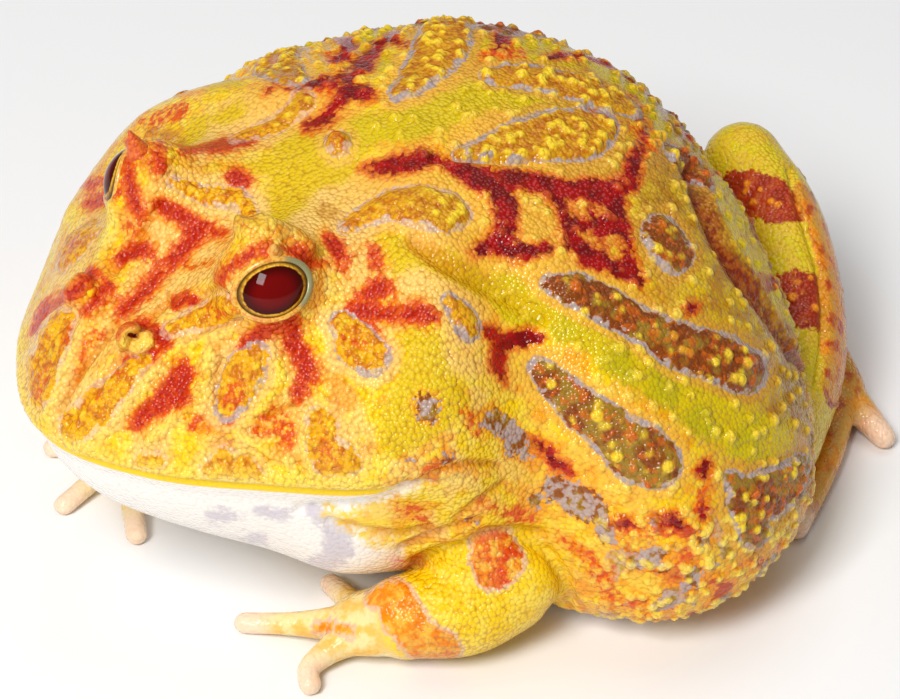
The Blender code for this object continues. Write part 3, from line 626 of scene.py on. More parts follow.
    ]},
    "shankSide": {"one": [
        [(716, 178, 8), (731, 205, 14), (749, 240, 17), (766, 272, 13), (783, 308, 9), (800, 350, 7)],
    ]},
    # Painted shadow of the fold where the thigh meets the body
    "thighFoldShadow": {"one": [
        [(690, 168, 4), (704, 204, 7), (720, 240, 11), (744, 279, 11), (769, 313, 9), (790, 351, 7),
         (806, 382, 5)],
    ]},
    "tarsus": {"one": [
        [(800, 186, 4), (816, 224, 8), (831, 262, 11), (837, 305, 13), (838, 350, 14), (838, 388, 14)],
    ]},
    "warm": {"both": [
        [(450, 505, 28), (400, 520, 22), (365, 518, 13), (345, 512, 8), (328, 506, 5)],
        [(450, 545, 18), (416, 548, 11)],
    ]},
    # Brown lid folds, partly painted shade under their overhang
    "brownAndFoldShade": {"one": [
        [(152, 136, 6), (172, 140, 9), (188, 152, 9), (197, 170, 6)],
        [(150, 160, 8), (166, 178, 8), (184, 190, 6)],
    ], "both": [
        [(246, 238, 5), (262, 231, 7), (282, 231, 8), (300, 239, 8), (312, 252, 5)],
        [(325, 210, 9), (345, 224, 7)],
    ]},
    "lilac": {"both": [
        [(208, 516, 5), (222, 517, 8), (236, 520, 5)], [(262, 511, 5), (285, 512, 6)],
        [(312, 511, 6), (324, 513, 6)], [(328, 529, 5), (346, 530, 6)], [(330, 541, 7), (346, 541, 6)],
        [(312, 548, 6), (328, 553, 8)], [(245, 540, 6), (262, 535, 6)],
    ]},
}

# Markings the photograph doesn't show: chains of (turn, level, radius in millimetres) on the body's own form
hiddenMarkings = {
    "gold": [
        (0.5, [(-68, 0.8, 1.8), (-78, 0.7, 3.0), (-88, 0.63, 3.4), (-97, 0.6, 2.2)]),
        (0.5, [(172, 0.82, 1.8), (163, 0.7, 3.2), (159, 0.59, 2.8)]),
        (0.8, [(-131, 0.62, 2.4), (-136, 0.5, 3.6), (-138, 0.36, 3.4), (-136, 0.26, 2.0)]),
        (0.8, [(-158, 0.68, 2.2), (-161, 0.54, 3.4), (-166, 0.4, 2.8)]),
        (0.85, [(147, 0.5, 2.4), (151, 0.38, 3.4), (154, 0.25, 2.6)]),
        (0.9, [(172, 0.4, 2.0), (178, 0.29, 3.2), (184, 0.2, 2.4)]),
        (0.85, [(-150, 0.28, 2.0), (-154, 0.2, 2.6)]),
    ],
    "crimson": [
        [(-92, 0.8, 0.8), (-106, 0.72, 1.1), (-111, 0.6, 1.0), (-108, 0.52, 0.7)],
        [(-106, 0.72, 1.0), (-120, 0.72, 1.1), (-128, 0.8, 0.8)],
        [(-145, 0.8, 0.8), (-147, 0.66, 1.2), (-150, 0.52, 0.9), (-147, 0.42, 0.7)],
        [(-147, 0.66, 1.1), (-139, 0.64, 0.7)], [(178, 0.7, 0.8), (179, 0.57, 1.2), (172, 0.48, 0.8)],
        [(-172, 0.52, 0.7), (-174, 0.4, 1.1), (-170, 0.28, 0.8)],
        [(163, 0.44, 0.7), (166, 0.33, 1.1), (163, 0.22, 0.8)],
        [(-122, 0.46, 0.7), (-124, 0.34, 1.0), (-121, 0.24, 0.7)],
    ],
    "lime": [
        [(-112, 0.84, 2.0), (-118, 0.62, 2.4), (-126, 0.52, 2.2), (-129, 0.36, 3.0), (-131, 0.2, 3.0)],
        [(148, 0.78, 2.4), (149, 0.6, 3.0), (152, 0.46, 2.4), (160, 0.3, 2.0)],
        [(-166, 0.8, 2.0), (-172, 0.64, 2.6), (-178, 0.5, 2.6), (178, 0.48, 2.0)],
        [(-148, 0.4, 2.4), (-158, 0.28, 2.6), (-168, 0.2, 2.6)],
    ],
    "rust": [
        [(136, 0.14, 2.4), (150, 0.1, 3.0), (163, 0.12, 2.4)],
        [(-134, 0.13, 2.4), (-148, 0.1, 3.0), (-164, 0.1, 2.4)], [(150, 0.66, 1.2), (146, 0.56, 1.6)],
        [(-100, 0.7, 1.4), (-98, 0.78, 1.4)],
    ],
    "peach": [
        [(-84, 0.74, 4.0), (-110, 0.62, 5.0), (-140, 0.7, 5.0), (-165, 0.6, 4.0), (168, 0.62, 5.0),
         (140, 0.6, 5.0)],
    ],
}

# Bands round limbs where the photograph doesn't show them: millimetres along the limb, and half width
hiddenBands = {
    "leftShank": [(43, 2.4), (25.5, 3.4), (12, 2.0)],
    "rightShank": [(36, 2.4), (21, 3.2), (8, 2.2)],
    "rightForearm": [(18, 2.4), (5, 2.2)],
}

# Creases as half width and depth in millimetres, and the pixels (x, y) they run through
creases = [
    (0.7, 0.6, [(409, 480), (392, 492), (372, 499), (345, 503), (300, 508)]),
    (0.9, 1.2, [(416, 560), (440, 553), (466, 548), (488, 535), (518, 533), (540, 536)]),
    (0.6, 0.6, [(412, 484), (440, 470), (470, 462), (500, 466)]),
    (1.3, 1.2, [(415, 240), (445, 262), (480, 280), (515, 300), (540, 318)]),
    (0.5, 0.7, [(432, 158), (465, 157), (505, 160), (540, 163)]),
    (0.8, 1.0, [(520, 540), (548, 552), (566, 580), (570, 600)]),
    (0.6, 0.6, [(330, 520), (365, 528), (400, 533), (430, 528)]),
    (0.6, 0.6, [(400, 545), (430, 535), (460, 525), (480, 520)]),
    (0.55, 0.8, [(166, 300), (150, 318), (130, 345), (100, 385), (66, 425)]),
    (0.5, 1.1, [(222, 360), (216, 380), (217, 400)]), (0.5, 0.8, [(110, 330), (80, 372), (58, 410)]),
    (0.5, 0.7, [(160, 205), (120, 262), (96, 300)]), (0.5, 0.6, [(192, 300), (214, 288), (232, 300)]),
    (0.5, 0.6, [(186, 342), (214, 328), (240, 322)]), (0.5, 0.6, [(268, 415), (292, 404), (300, 400)]),
    (0.6, 0.5, [(455, 520), (480, 500), (505, 482)]), (0.5, 0.7, [(284, 243), (298, 250), (314, 266)]),
    (1.1, 1.4, [(690, 168), (704, 204), (720, 240), (744, 279), (769, 313), (790, 351), (806, 382)]),
    (0.5, 0.8, [(790, 170), (799, 206), (811, 243), (821, 277), (824, 312), (823, 345), (817, 385)]),
]

# Raised pale ridges of the snout, as the creases
ridges = [
    (0.9, 0.9, [(249, 238), (262, 232), (280, 234), (296, 240), (307, 250)]),
    (1.0, 0.4, [(114, 205), (113, 230), (98, 266), (71, 296), (44, 334), (29, 361)]),
    (0.9, 0.5, [(109, 278), (89, 318), (70, 352), (53, 398), (47, 417)]),
    (1.0, 0.5, [(228, 328), (198, 338), (168, 352), (146, 386), (124, 412), (98, 438), (80, 448)]),
    (0.8, 0.4, [(211, 352), (200, 384), (182, 412), (150, 440)]),
    (0.9, 0.4, [(274, 352), (280, 378), (264, 407), (240, 424), (205, 440)]),
    (0.8, 0.4, [(228, 428), (262, 447), (290, 462), (296, 474)]),
    (0.8, 0.4, [(306, 412), (304, 440), (312, 468)]),
    (1.0, 0.4, [(336, 330), (344, 352), (362, 372), (385, 372)]),
]

# Round swellings seated by a pixel of the photograph: x, y, spread, height in millimetres, both sides or not
swellings = [
    (452, 40, 8.0, 2.0, False), (338, 145, 1.7, 1.7, False), (150, 150, 3.0, 0.8, True),
    (161, 167, 0.9, 0.8, False), (244, 237, 0.8, 1.2, False), (262, 246, 2.4, 0.5, False),
    (74, 205, 8.0, 1.0, True), (345, 555, 8.0, 2.2, True), (395, 205, 2.5, 0.5, True),
    (235, 385, 2.6, 0.4, True), (120, 385, 2.8, 0.4, True), (335, 445, 2.8, 0.35, True),
    (416, 345, 2.6, 0.4, True),
]


browPixels = ((158, 152), (262, 240))  # small warts gather round these


def skinMesh():
    # Body, limbs, lids and nostrils fused on a grid of small cubes, then evened out where limbs meet the body
    forms = [bodyForm()] + [limbForm(joints) for joints in limbs.values()]
    for side in (1, -1):
        flip = np.array([1, side, 1])
        forms.append(ballForm(eyeCentre(side), eye["lidRadius"]))
        forms.append(ballForm(nostril["at"] * flip, nostril["base"], 40, 24))
    piece = newPiece("skin", *joined(forms))
    fuse = piece.modifiers.new("fuse", "REMESH")
    fuse.mode = "VOXEL"
    fuse.voxel_size = skin["voxel"] * mm
    mesh = settled(piece)
    points, edges = pointsOf(mesh), readAll(mesh.edges, "vertices", 2, np.int32)
    points = evened(points, edges, np.full(len(points), 0.5), skin["evenRounds"])
    near = [1 - ease(0.5, 1.0, np.linalg.norm(points - np.array(join[:3]), axis=1) / join[3])
            for join in softJoins.values()]
    points = evened(points, edges, 0.6 * np.max(near, axis=0), skin["joinRounds"])
    putPoints(mesh, points)
    print("Skin fused:", len(points), "points")
    return piece


def markSkin(tree, points, normals):
    # Each marking becomes a depth in millimetres at every point, positive inside
    places = photoPlace(points)
    farPoints = points * [1, -1, 1]
    farPlaces = photoPlace(farPoints)
    farSide = np.where(points[:, 1] < 0, -sunk * ease(0.0, 0.25, normals @ sight), -20)

    def deepest(chain, both):
        depth = chainDepth(tree, places, points, chain)
        if both:
            depth = np.maximum(depth, chainDepth(tree, farPlaces, farPoints, chain) + farSide)
        return depth

    fields = {}
    for name, groups in markings.items():
        depth, tone = np.full(len(points), outside), np.zeros(len(points))
        drawn = [(chain, group) for group, chains in groups.items() for chain in chains]
        drawn += [(chain, "hidden") for chain in hiddenMarkings.get(name, [])]
        for chain, group in drawn:
            shade, links = chain if name == "gold" else (0, chain)
            here = formDepth(points, links) if group == "hidden" else deepest(links, group == "both")
            tone = np.where(here > depth, shade, tone)
            depth = np.maximum(depth, here)
        if name == "band":
            depth = np.maximum(depth, bandDepth(points, normals))
        fields[name] = depth
        if name == "gold":
            fields["goldTone"] = tone
    for name, lines, both in (("crease", creases, True), ("ridge", ridges, False)):
        made = np.zeros(len(points))
        for width, most, chain in lines:
            away = np.minimum(deepest([(x, y, 0) for x, y in chain], both), 0)
            made = np.maximum(made, most * np.exp(-(away / width) ** 2))
        fields[name] = made
    return fields


def partFields(points, fields):
    # From 0 to 1, how far a point belongs to a limb, sole, digit or digit's tip, and its height over the lip
    tips = [np.array(joints[-1][:3], float) for name, joints in limbs.items()
            if "Finger" in name or "Toe" in name]
    fields["sole"] = limbCloseness(points, ("Sole", "Toe"))
    fields["digit"] = limbCloseness(points, ("Finger", "Toe", "Palm"))
    fields["limb"] = np.max([limbCloseness(points, ("Arm", "arm", "Palm", "Thigh", "Shank")), fields["sole"],
                             fields["digit"]], axis=0)
    fields["tip"] = np.max([ease(6, 1.5, np.linalg.norm(points - place, axis=1)) for place in tips], axis=0)
    fields["lip"] = points[:, 2] - lipHeight(points[:, 0])


def wartPush(tree, points, normals, fields, calm):
    # Big warts on the back, small ones low on the flank, on patches, brows and bands: the higher of the two
    x, y, z = points.T
    limb = fields["limb"]
    banded = ease(-0.2, 0.3, fields["band"]) * limb * ease(0, -20, x) * ease(0.2, -0.3, fields["tarsus"])
    back, crown = ease(14, -2, x) * (1 - limb), ease(38, 50, z)
    flank, lowFlank = back * ease(42, 26, z), back * ease(27, 17, z)
    patch, lime = ease(-0.1, 0.6, fields["gold"]), ease(-0.5, 1.0, fields["lime"])
    brows = [np.linalg.norm(points - seatOf(tree, *pixel)[0], axis=1) for pixel in browPixels]
    browed = ease(4.5, 2.0, np.min(brows, axis=0))
    dull = ease(0.5, 0.75, fields["goldTone"])
    big, bigChance = domes(points, normals, **warts["big"])
    small, smallChance = domes(points, normals, **warts["small"])
    bigSize = calm * (0.05 + back * (0.44 + 0.18 * flank + 0.12 * lime + 0.14 * patch + 0.12 * crown))
    smallSize = calm * (0.05 + 0.5 * lowFlank + patch * (0.16 + 0.34 * back * (1 - dull)) + 0.35 * browed
                        + 0.34 * banded)
    fields["wart"] = np.maximum(big * ease(0.15, 0.4, bigSize), small * ease(0.1, 0.3, smallSize))
    fields["wartChance"] = np.where(bigSize * big > smallSize * small, bigChance, smallChance)
    return np.maximum(bigSize * big, smallSize * small)


def openNostril(points, fields, seat, out, side):
    # An oval ring round a slit, both seen along the photograph's sight line
    flip = np.array([1, side, 1])
    seat, out = seat * flip, out * flip
    offset = points - seat
    level, rise = offset @ (rightward * flip), offset @ (upward * flip)
    close = ease(-3.0, -1.5, offset @ out)
    span = np.hypot(level / nostril["ring"][0], rise / nostril["ring"][1])
    ring = nostril["height" if side > 0 else "farHeight"] * np.exp(-((span - 1) / 0.34) ** 2)
    pit = ease(1.1, 0.5, np.hypot((level + 0.2) / nostril["slit"][0],
                                  (rise - 0.25 + 0.25 * level) / nostril["slit"][1]))
    fields["nostril"] = np.maximum(fields["nostril"], ease(1.35, 0.8, span) * close)
    fields["pit"] = np.maximum(fields["pit"], pit * close)
    return points + out * ((ring - nostril["depth"] * pit) * close)[:, None]


def openEye(points, side):
    # Skin inside the lids' edge sinks behind the eyeball
    u, v, w = eyeFrame(points, side)
    edge = np.hypot(u / eye["opening"][0], v / eye["opening"][1])
    inside = ease(1.03, 0.93, edge) * ease(1.5, 3.0, w)
    centre = eyeCentre(side)
    reach = np.linalg.norm(points - centre, axis=1)
    sink = np.minimum(reach, eye["radius"] - 1) / reach - 1
    return centre + (points - centre) * (1 + inside * sink)[:, None]


def shapeSkin(piece):
    # Warts, patches, ridges, creases, the mouth and swellings push the skin along its normals. Then the
    # nostrils and the eyes are opened, and nothing is left under the floor
    mesh = piece.data
    points, normals = pointsOf(mesh), readAll(mesh.vertex_normals, "vector", 3)
    tree = BVHTree.FromObject(piece, bpy.context.evaluated_depsgraph_get())
    fields = markSkin(tree, points, normals)
    partFields(points, fields)
    nostrilSeat, nostrilOut = seatOf(tree, *nostril["pixel"])
    x, y, z = points.T
    headward = ease(8, 16, x)
    throat = headward * ease(1.0, -0.5, fields["lip"])
    calm = (1 - throat) * ease(1.5, 5.0, z) * (1 - fields["digit"]) * (1 - fields["sole"])
    calm = calm * (1 - 0.8 * ease(-0.3, 0.5, fields["thighFoldShadow"]))
    push = wartPush(tree, points, normals, fields, calm)
    # A patch stands up inside a narrow groove, and pale ridges run down the snout
    gold = fields["gold"]
    push += calm * (skin["patchRise"] * ease(0.1, 0.9, gold)
                    - skin["patchGroove"] * np.exp(-((gold + 0.25) / 0.3) ** 2))
    push += skin["ridgeRise"] * calm * fields["ridge"] - fields["crease"]
    # The mouth: a groove under the upper lip
    push -= skin["mouthDepth"] * headward * ease(12, 26, x) * np.exp(-((fields["lip"] + 0.55) / 0.4) ** 2)
    for pixelX, pixelY, spread, height, both in swellings:
        place = seatOf(tree, pixelX, pixelY)[0]
        for side in ((1, -1) if both else (1,)):
            away2 = ((points - place * [1, side, 1]) ** 2).sum(1)
            push += height * np.exp(-away2 / spread ** 2)
    points = points + normals * push[:, None]
    fields["pit"], fields["nostril"] = np.zeros(len(points)), np.zeros(len(points))
    for side in (1, -1):
        points = openEye(openNostril(points, fields, nostrilSeat, nostrilOut, side), side)
    points[:, 2] = points[:, 2].clip(0)
    putPoints(mesh, points)
    for name, values in fields.items():
        keepField(mesh, name, values)


def limbCloseness(points, kinds):
    # 1 on the surface of the limb pieces whose names hold one of the kinds, falling to 0 a millimetre away
    made = np.zeros(len(points))
    for name, joints in limbs.items():
        if not any(kind in name for kind in kinds):
            continue
        line = np.array(joints, float)
        for a, b in zip(line[:-1], line[1:]):
            t, away = alongSpan(points, a[:3], b[:3])
            made = np.maximum(made, ease(1.2, 0.2, away - a[3:].max() - t * (b[3:].max() - a[3:].max())))
    return made


def thinSkin(piece):
    # The flattest parts lose triangles first
    triangles = sum(len(face.vertices) - 2 for face in piece.data.polygons)
    thin = piece.modifiers.new("thin", "DECIMATE")
    thin.ratio = min(1, skin["mostTriangles"] / triangles)
    mesh = settled(piece)
    mesh.polygons.foreach_set("use_smooth", [True] * len(mesh.polygons))
    mesh.update()
    print("Skin thinned from", triangles, "to", len(mesh.polygons), "triangles")


def gazeAxes(side):
    # Gaze, the opening's long axis and its short axis, turned about the gaze by the tilt
    gaze = unit(eye["gaze"] if side > 0 else eye["rightGaze"])
    level = unit(np.cross([0, 0, 1], gaze)) * side
    rise = np.cross(gaze, level) * side
    tilt = math.radians(eye["tilt"])
    wide = level * math.cos(tilt) + rise * math.sin(tilt)
    tall = rise * math.cos(tilt) - level * math.sin(tilt)
    return gaze, wide, tall


def eyeCentre(side):
    # Side is 1 on the frog's left and -1 on its right
    return eyeAt if side > 0 else eye["rightMiddle"]


def eyeFrame(points, side):
    # Distances from the eye's middle along the long axis, the short axis and the gaze
    gaze, level, rise = gazeAxes(side)
    offset = points - eyeCentre(side)
    return offset @ level, offset @ rise, offset @ gaze


class Field:
    # A number over a surface. Sums, differences and products of fields add their Math nodes
    def __init__(self, finish, socket):
        self.finish, self.socket = finish, socket

    def math(self, operation, *values):
        made = self.finish.node("ShaderNodeMath", {"operation": operation}, dict(enumerate(values)))
        return Field(self.finish, made.outputs[0])

    def __add__(self, other):
        return self.math("ADD", self, other)

    def __sub__(self, other):
        return self.math("SUBTRACT", self, other)

    def __rsub__(self, other):
        return self.math("SUBTRACT", other, self)

    def __mul__(self, other):
        return self.math("MULTIPLY", self, other)

    __radd__ = __add__
    __rmul__ = __mul__

    def most(self, other):
        return self.math("MAXIMUM", self, other)

    def ease(self, start, end):
        # 0 at start, 1 at end, smooth between
        made = self.finish.node("ShaderNodeMapRange", {"interpolation_type": "SMOOTHSTEP"},
                                {0: self, 1: min(start, end), 2: max(start, end),
                                 3: 0.0 if start < end else 1.0, 4: 1.0 if start < end else 0.0})
        return Field(self.finish, made.outputs[0])


class Finish:
    # A material with one shader, and one method that adds any node
    def __init__(self, name, **constants):
        self.material = bpy.data.materials.new(name)
        self.material.use_nodes = True
        self.tree = self.material.node_tree
        self.shader = self.tree.nodes["Principled BSDF"]
        for socket, value in constants.items():
            self.shader.inputs[socket.replace("_", " ")].default_value = value
        self.place = None

    def node(self, kind, settings=None, inputs=None):
        made = self.tree.nodes.new(kind)
        for name, value in (settings or {}).items():
            setattr(made, name, value)
        for key, value in (inputs or {}).items():
            self.link(value, made.inputs[key])
        return made

    def link(self, value, socket):
        if isinstance(value, Field):
            value = value.socket
        if isinstance(value, bpy.types.NodeSocket):
            self.tree.links.new(value, socket)
        elif isinstance(value, tuple) and len(value) == 3 and len(socket.default_value) == 4:
            socket.default_value = (*value, 1)
        else:
            socket.default_value = value

    def here(self):
        # Object coordinates in millimetres
        if self.place is None:
            coordinates = self.node("ShaderNodeTexCoord")
            self.place = self.node("ShaderNodeVectorMath", {"operation": "SCALE"},
                                   {0: coordinates.outputs["Object"], 3: 1 / mm}).outputs[0]
        return self.place

    def attribute(self, name):
        made = self.node("ShaderNodeAttribute", {"attribute_name": name})
        return Field(self, made.outputs["Fac"])

    def noise(self, size, detail):
        inputs = {"Vector": self.here(), "Scale": 1 / size, "Detail": detail}
        return Field(self, self.node("ShaderNodeTexNoise", {}, inputs).outputs[0])

    def cells(self, size, spread=1.0):
        # Distance to the nearest cell's middle, in cells, and that cell's chance number
        inputs = {"Vector": self.here(), "Scale": 1 / size, "Randomness": spread}
        made = self.node("ShaderNodeTexVoronoi", {}, inputs)
        parts = self.node("ShaderNodeSeparateColor", {}, {0: made.outputs["Color"]})
        return Field(self, made.outputs["Distance"]), Field(self, parts.outputs[0])

    def mix(self, share, first, second, kind="MIX"):
        made = self.node("ShaderNodeMix", {"data_type": "RGBA", "blend_type": kind},
                         {0: share, 6: first, 7: second})
        return made.outputs[2]

    def colour(self, value):
        self.link(value, self.shader.inputs["Base Color"])

    def bump(self, height, depth):
        made = self.node("ShaderNodeBump", {}, {"Height": height, "Strength": 1.0, "Distance": depth * mm})
        self.link(made.outputs[0], self.shader.inputs["Normal"])


def paint(red, green, blue):
    # A screen colour of 0 to 255 as linear light
    share = [c / 255 for c in (red, green, blue)]
    return tuple(c / 12.92 if c <= 0.04045 else ((c + 0.055) / 1.055) ** 2.4 for c in share)


colours = {
    "yellow": paint(250, 206, 10),
    "lipYellow": paint(255, 212, 6),
    "cream": paint(255, 226, 84),
    "paleCream": paint(254, 218, 134),
    "white": paint(252, 246, 238),
    "peach": paint(243, 182, 60),
    "lime": paint(216, 188, 4),
    "green": paint(192, 176, 8),
    "cheek": paint(234, 192, 10),
    # olive of the rear, partly painted shade
    "tan": paint(202, 144, 40),
    "oliveAndRearShade": paint(152, 106, 16),
    "legYellow": paint(222, 200, 18),
    "legGold": paint(226, 186, 36),
    "crimson": paint(170, 12, 8),
    "redBead": paint(226, 92, 36),
    "darkRed": paint(122, 6, 6),
    "brickRed": paint(196, 40, 4),
    "scarlet": paint(222, 72, 6),
    "orange": paint(242, 146, 8),
    "rustRed": paint(190, 56, 10),
    # brown of the lid folds, partly painted shade
    "foldBrownAndShade": paint(196, 122, 24),
    "gold": paint(242, 176, 10),
    # amber of the patches, and painted shade in the creases
    "amberAndCreaseShade": paint(212, 124, 6),
    "bronze": paint(160, 102, 22),
    "umber": paint(136, 66, 14),
    "moss": paint(156, 120, 34),
    "lilacGrey": paint(178, 160, 156),
    "pinkGrey": paint(226, 184, 158),
    "lilac": paint(206, 196, 206),
    "wartTop": paint(255, 220, 48),
    "rustTop": paint(216, 104, 20),
    "skinPink": paint(254, 222, 196),
    "fingerCream": paint(250, 226, 164),
    "ochre": paint(222, 156, 36),
    "band": paint(146, 42, 12),
    # painted shade in the recesses between granules
    "creviceShade": paint(206, 132, 56),
    "foldShade": paint(132, 34, 6),
    "nostril": paint(252, 210, 86),
    # dark red painted shadow inside the nostril slit
    "pit": paint(134, 26, 12),
}


skinLook = {
    "specular": 0.36,
    "roughness": 0.13,
    "granule": 0.58,  # millimetres across
    "granuleSpread": 0.85,
    "granuleDepth": 0.18,
    "glow": 0.04,  # share of the light that enters the skin
    "glowDepth": 0.001,  # metres
    "glowTone": (1.0, 0.4, 0.2),  # how far red, green and blue go, as parts of that depth
}


def skinFinish():
    # Each cover lays a tone over the ground by its share, from the broad fields to the small dark spots
    f = Finish("patternedSkin", Specular_IOR_Level=skinLook["specular"], Subsurface_Weight=skinLook["glow"],
               Subsurface_Scale=skinLook["glowDepth"], Subsurface_Radius=skinLook["glowTone"])
    wide, fine, mottle = f.noise(5.5, 1.0), f.noise(0.9, 2.0), f.noise(2.4, 3.0)
    cloud, freckle, warm = f.noise(3.1, 2.0), f.noise(1.2, 2.0), f.noise(4.5, 1.0)
    away, granuleChance = f.cells(skinLook["granule"], skinLook["granuleSpread"])
    wobble = (wide - 0.5) * 2.4 + (fine - 0.5) + (granuleChance - 0.5) * 0.6

    def depth(name, roughness=1.0):
        return f.attribute(name) + wobble * roughness

    def cover(share, tone):
        nonlocal ground
        ground = f.mix(share, ground, tone)

    c = colours
    limb, digit, sole, tip = (f.attribute(name) for name in ("limb", "digit", "sole", "tip"))
    lip, wart, chance = f.attribute("lip"), f.attribute("wart"), f.attribute("wartChance")
    across = f.node("ShaderNodeSeparateXYZ", {}, {0: f.here()})
    x = Field(f, across.outputs[0]) - float(shift[0])
    z = Field(f, across.outputs[2])
    trunk, headward = 1 - limb, x.ease(6, 20)
    # Ground: yellow with cream, peach and orange clouds, olive towards the rear that is partly painted shade,
    # then peach and lime fields
    pale = f.mix(headward * 0.6, f.mix(x.ease(2, -24) * 0.85, c["peach"], c["tan"]), c["paleCream"])
    ground = f.mix(mottle.ease(0.44, 0.6) * (0.35 + 0.4 * headward), c["yellow"], c["cream"])
    cover(warm.ease(0.46, 0.62) * 0.7, pale)
    cover(cloud.ease(0.5, 0.64) * 0.65, c["orange"])
    # Olive towards the rear: partly the skin's own olive, partly painted shade of the rear that the light
    # reaches less
    cover(x.ease(4, -34) * z.ease(10, 26) * (0.55 + 0.35 * cloud.ease(0.4, 0.6)), c["oliveAndRearShade"])
    cover(depth("peach").ease(-1.6, 1.4) * 0.8, pale)
    limeTone = f.mix(wide.ease(0.42, 0.62) * z.ease(50, 40) * (1 - headward), c["lime"], c["green"])
    limeTone = f.mix(x.ease(5, 18) * 0.75, limeTone, c["cheek"])
    limed = depth("lime").ease(-0.8, 0.8)
    cover(limed * 0.95, limeTone)
    # Low on the flank: orange and rust veins with lilac-grey islands among cream warts
    low = z.ease(27, 15) * x.ease(8, 0) * trunk
    vein = 1 - warm + (granuleChance - 0.5) * 0.08
    cover(low * vein.ease(0.45, 0.52) * 0.9, c["orange"])
    cover(low * vein.ease(0.56, 0.62) * 0.9, c["rustRed"])
    islands = (wide + (granuleChance - 0.5) * 0.06).ease(0.56, 0.585)
    cover(low * islands * 0.85, f.mix(freckle.ease(0.45, 0.6), c["lilacGrey"], c["moss"]))
    rust = depth("rust", 1.3)
    cover(rust.ease(-0.9, 0.9) * (0.45 + 0.55 * freckle.ease(0.35, 0.6)), c["orange"])
    cover(rust.ease(-0.4, 0.9) * fine.ease(0.4, 0.56) * 0.9, c["scarlet"])
    # Pale ridges between the patches of the snout
    cover(f.attribute("ridge").ease(0.12, 0.4) * (0.35 + 0.4 * mottle.ease(0.4, 0.6)), c["cream"])
    # Folds of the lids are browner, partly painted shade under them, and the depths of creases carry painted
    # shade
    cover(depth("brownAndFoldShade").ease(-0.7, 0.5) * (0.4 + 0.4 * freckle.ease(0.38, 0.6)), c["foldBrownAndShade"])
    # Painted shade in the depths of creases, in amber
    cover(f.attribute("crease").ease(0.08, 0.5) * 0.6 * x.ease(0, 15), c["amberAndCreaseShade"])
    # Crimson with a scarlet fringe, more brick red on the head
    crimson = depth("crimson", 0.95)
    red = f.mix(headward * 0.85, f.mix(mottle.ease(0.4, 0.6), c["crimson"], c["darkRed"]), c["brickRed"])
    red = f.mix(fine.ease(0.5, 0.64) * headward * 0.6, red, c["scarlet"])
    cover(crimson.ease(-2.4, -0.6) * freckle.ease(0.36, 0.6) * headward * 0.8, c["orange"])
    cover(crimson.ease(-1.0, -0.1) * (0.6 + 0.3 * headward), c["scarlet"])
    cover(crimson.ease(-0.2, 0.45), red)
    # Patches: pale halo, grey-lilac edge of changing width, then gold, amber or moss by their tone
    gold, tone = depth("gold", 0.45), f.attribute("goldTone")
    rear = tone.ease(0.15, 0.45)
    halo = gold.ease(-1.9, -1.1) * gold.ease(1.0, -0.2) * crimson.ease(0.0, -0.8)
    cover(halo * (0.45 + 0.35 * rear), pale)
    edge = f.mix(rear, c["pinkGrey"], c["lilacGrey"])
    cover(gold.ease(-0.5, -0.2) * (0.2 + 0.45 * rear + 0.4 * freckle.ease(0.42, 0.58)), edge)
    bright = f.mix((1 - headward) * 0.4, f.mix(freckle.ease(0.44, 0.6), c["gold"], c["amberAndCreaseShade"]), c["bronze"])
    dull = f.mix((cloud + (tone - 0.82) * 0.8).ease(0.46, 0.6), c["umber"], c["moss"])
    inside = f.mix(tone.ease(0.55, 0.78), bright, dull)
    inside = f.mix(freckle.ease(0.5, 0.62) * tone.ease(0.5, 0.8) * 0.6, inside, c["rustTop"])
    inside = f.mix(rust.ease(0.0, 1.0) * fine.ease(0.38, 0.56) * 0.85, inside, c["scarlet"])
    top = f.mix(chance.ease(0.4, 0.65) * tone.ease(0.5, 0.8), c["wartTop"], c["rustTop"])
    inside = f.mix(wart.ease(0.12, 0.7) * 0.85, inside, top)
    width = mottle.ease(0.4, 0.62) * 0.7 - 0.1
    cover((gold + (fine - 0.5) * 0.5 - width).ease(-0.15, 0.15), inside)
    # Grey blotches with brown middles
    grey = depth("grey", 1.6)
    cover(grey.ease(-1.0, -0.2) * 0.6, c["orange"])
    greyTone = f.mix(freckle.ease(0.46, 0.58), c["lilacGrey"],
                     f.mix(mottle.ease(0.45, 0.55), c["moss"], c["umber"]))
    cover(grey.ease(-0.2, 0.2) * 0.9, greyTone)
    # Wart tops on the plain ground
    plain = gold.ease(0.1, -0.4) * trunk
    top = f.mix(crimson.ease(-0.4, 0.1), c["cream"], c["redBead"])
    top = f.mix(limed * (1 - 0.5 * low) * 0.75, top, c["wartTop"])
    plain = plain * (1 - 0.15 * crimson.ease(-0.4, 0.1))
    top = f.mix(x.ease(-10, -40) * 0.6, top, c["gold"])
    cover(wart.ease(0.15, 0.7) * plain * (0.35 + 0.3 * x.ease(8, -10) + 0.25 * low), top)
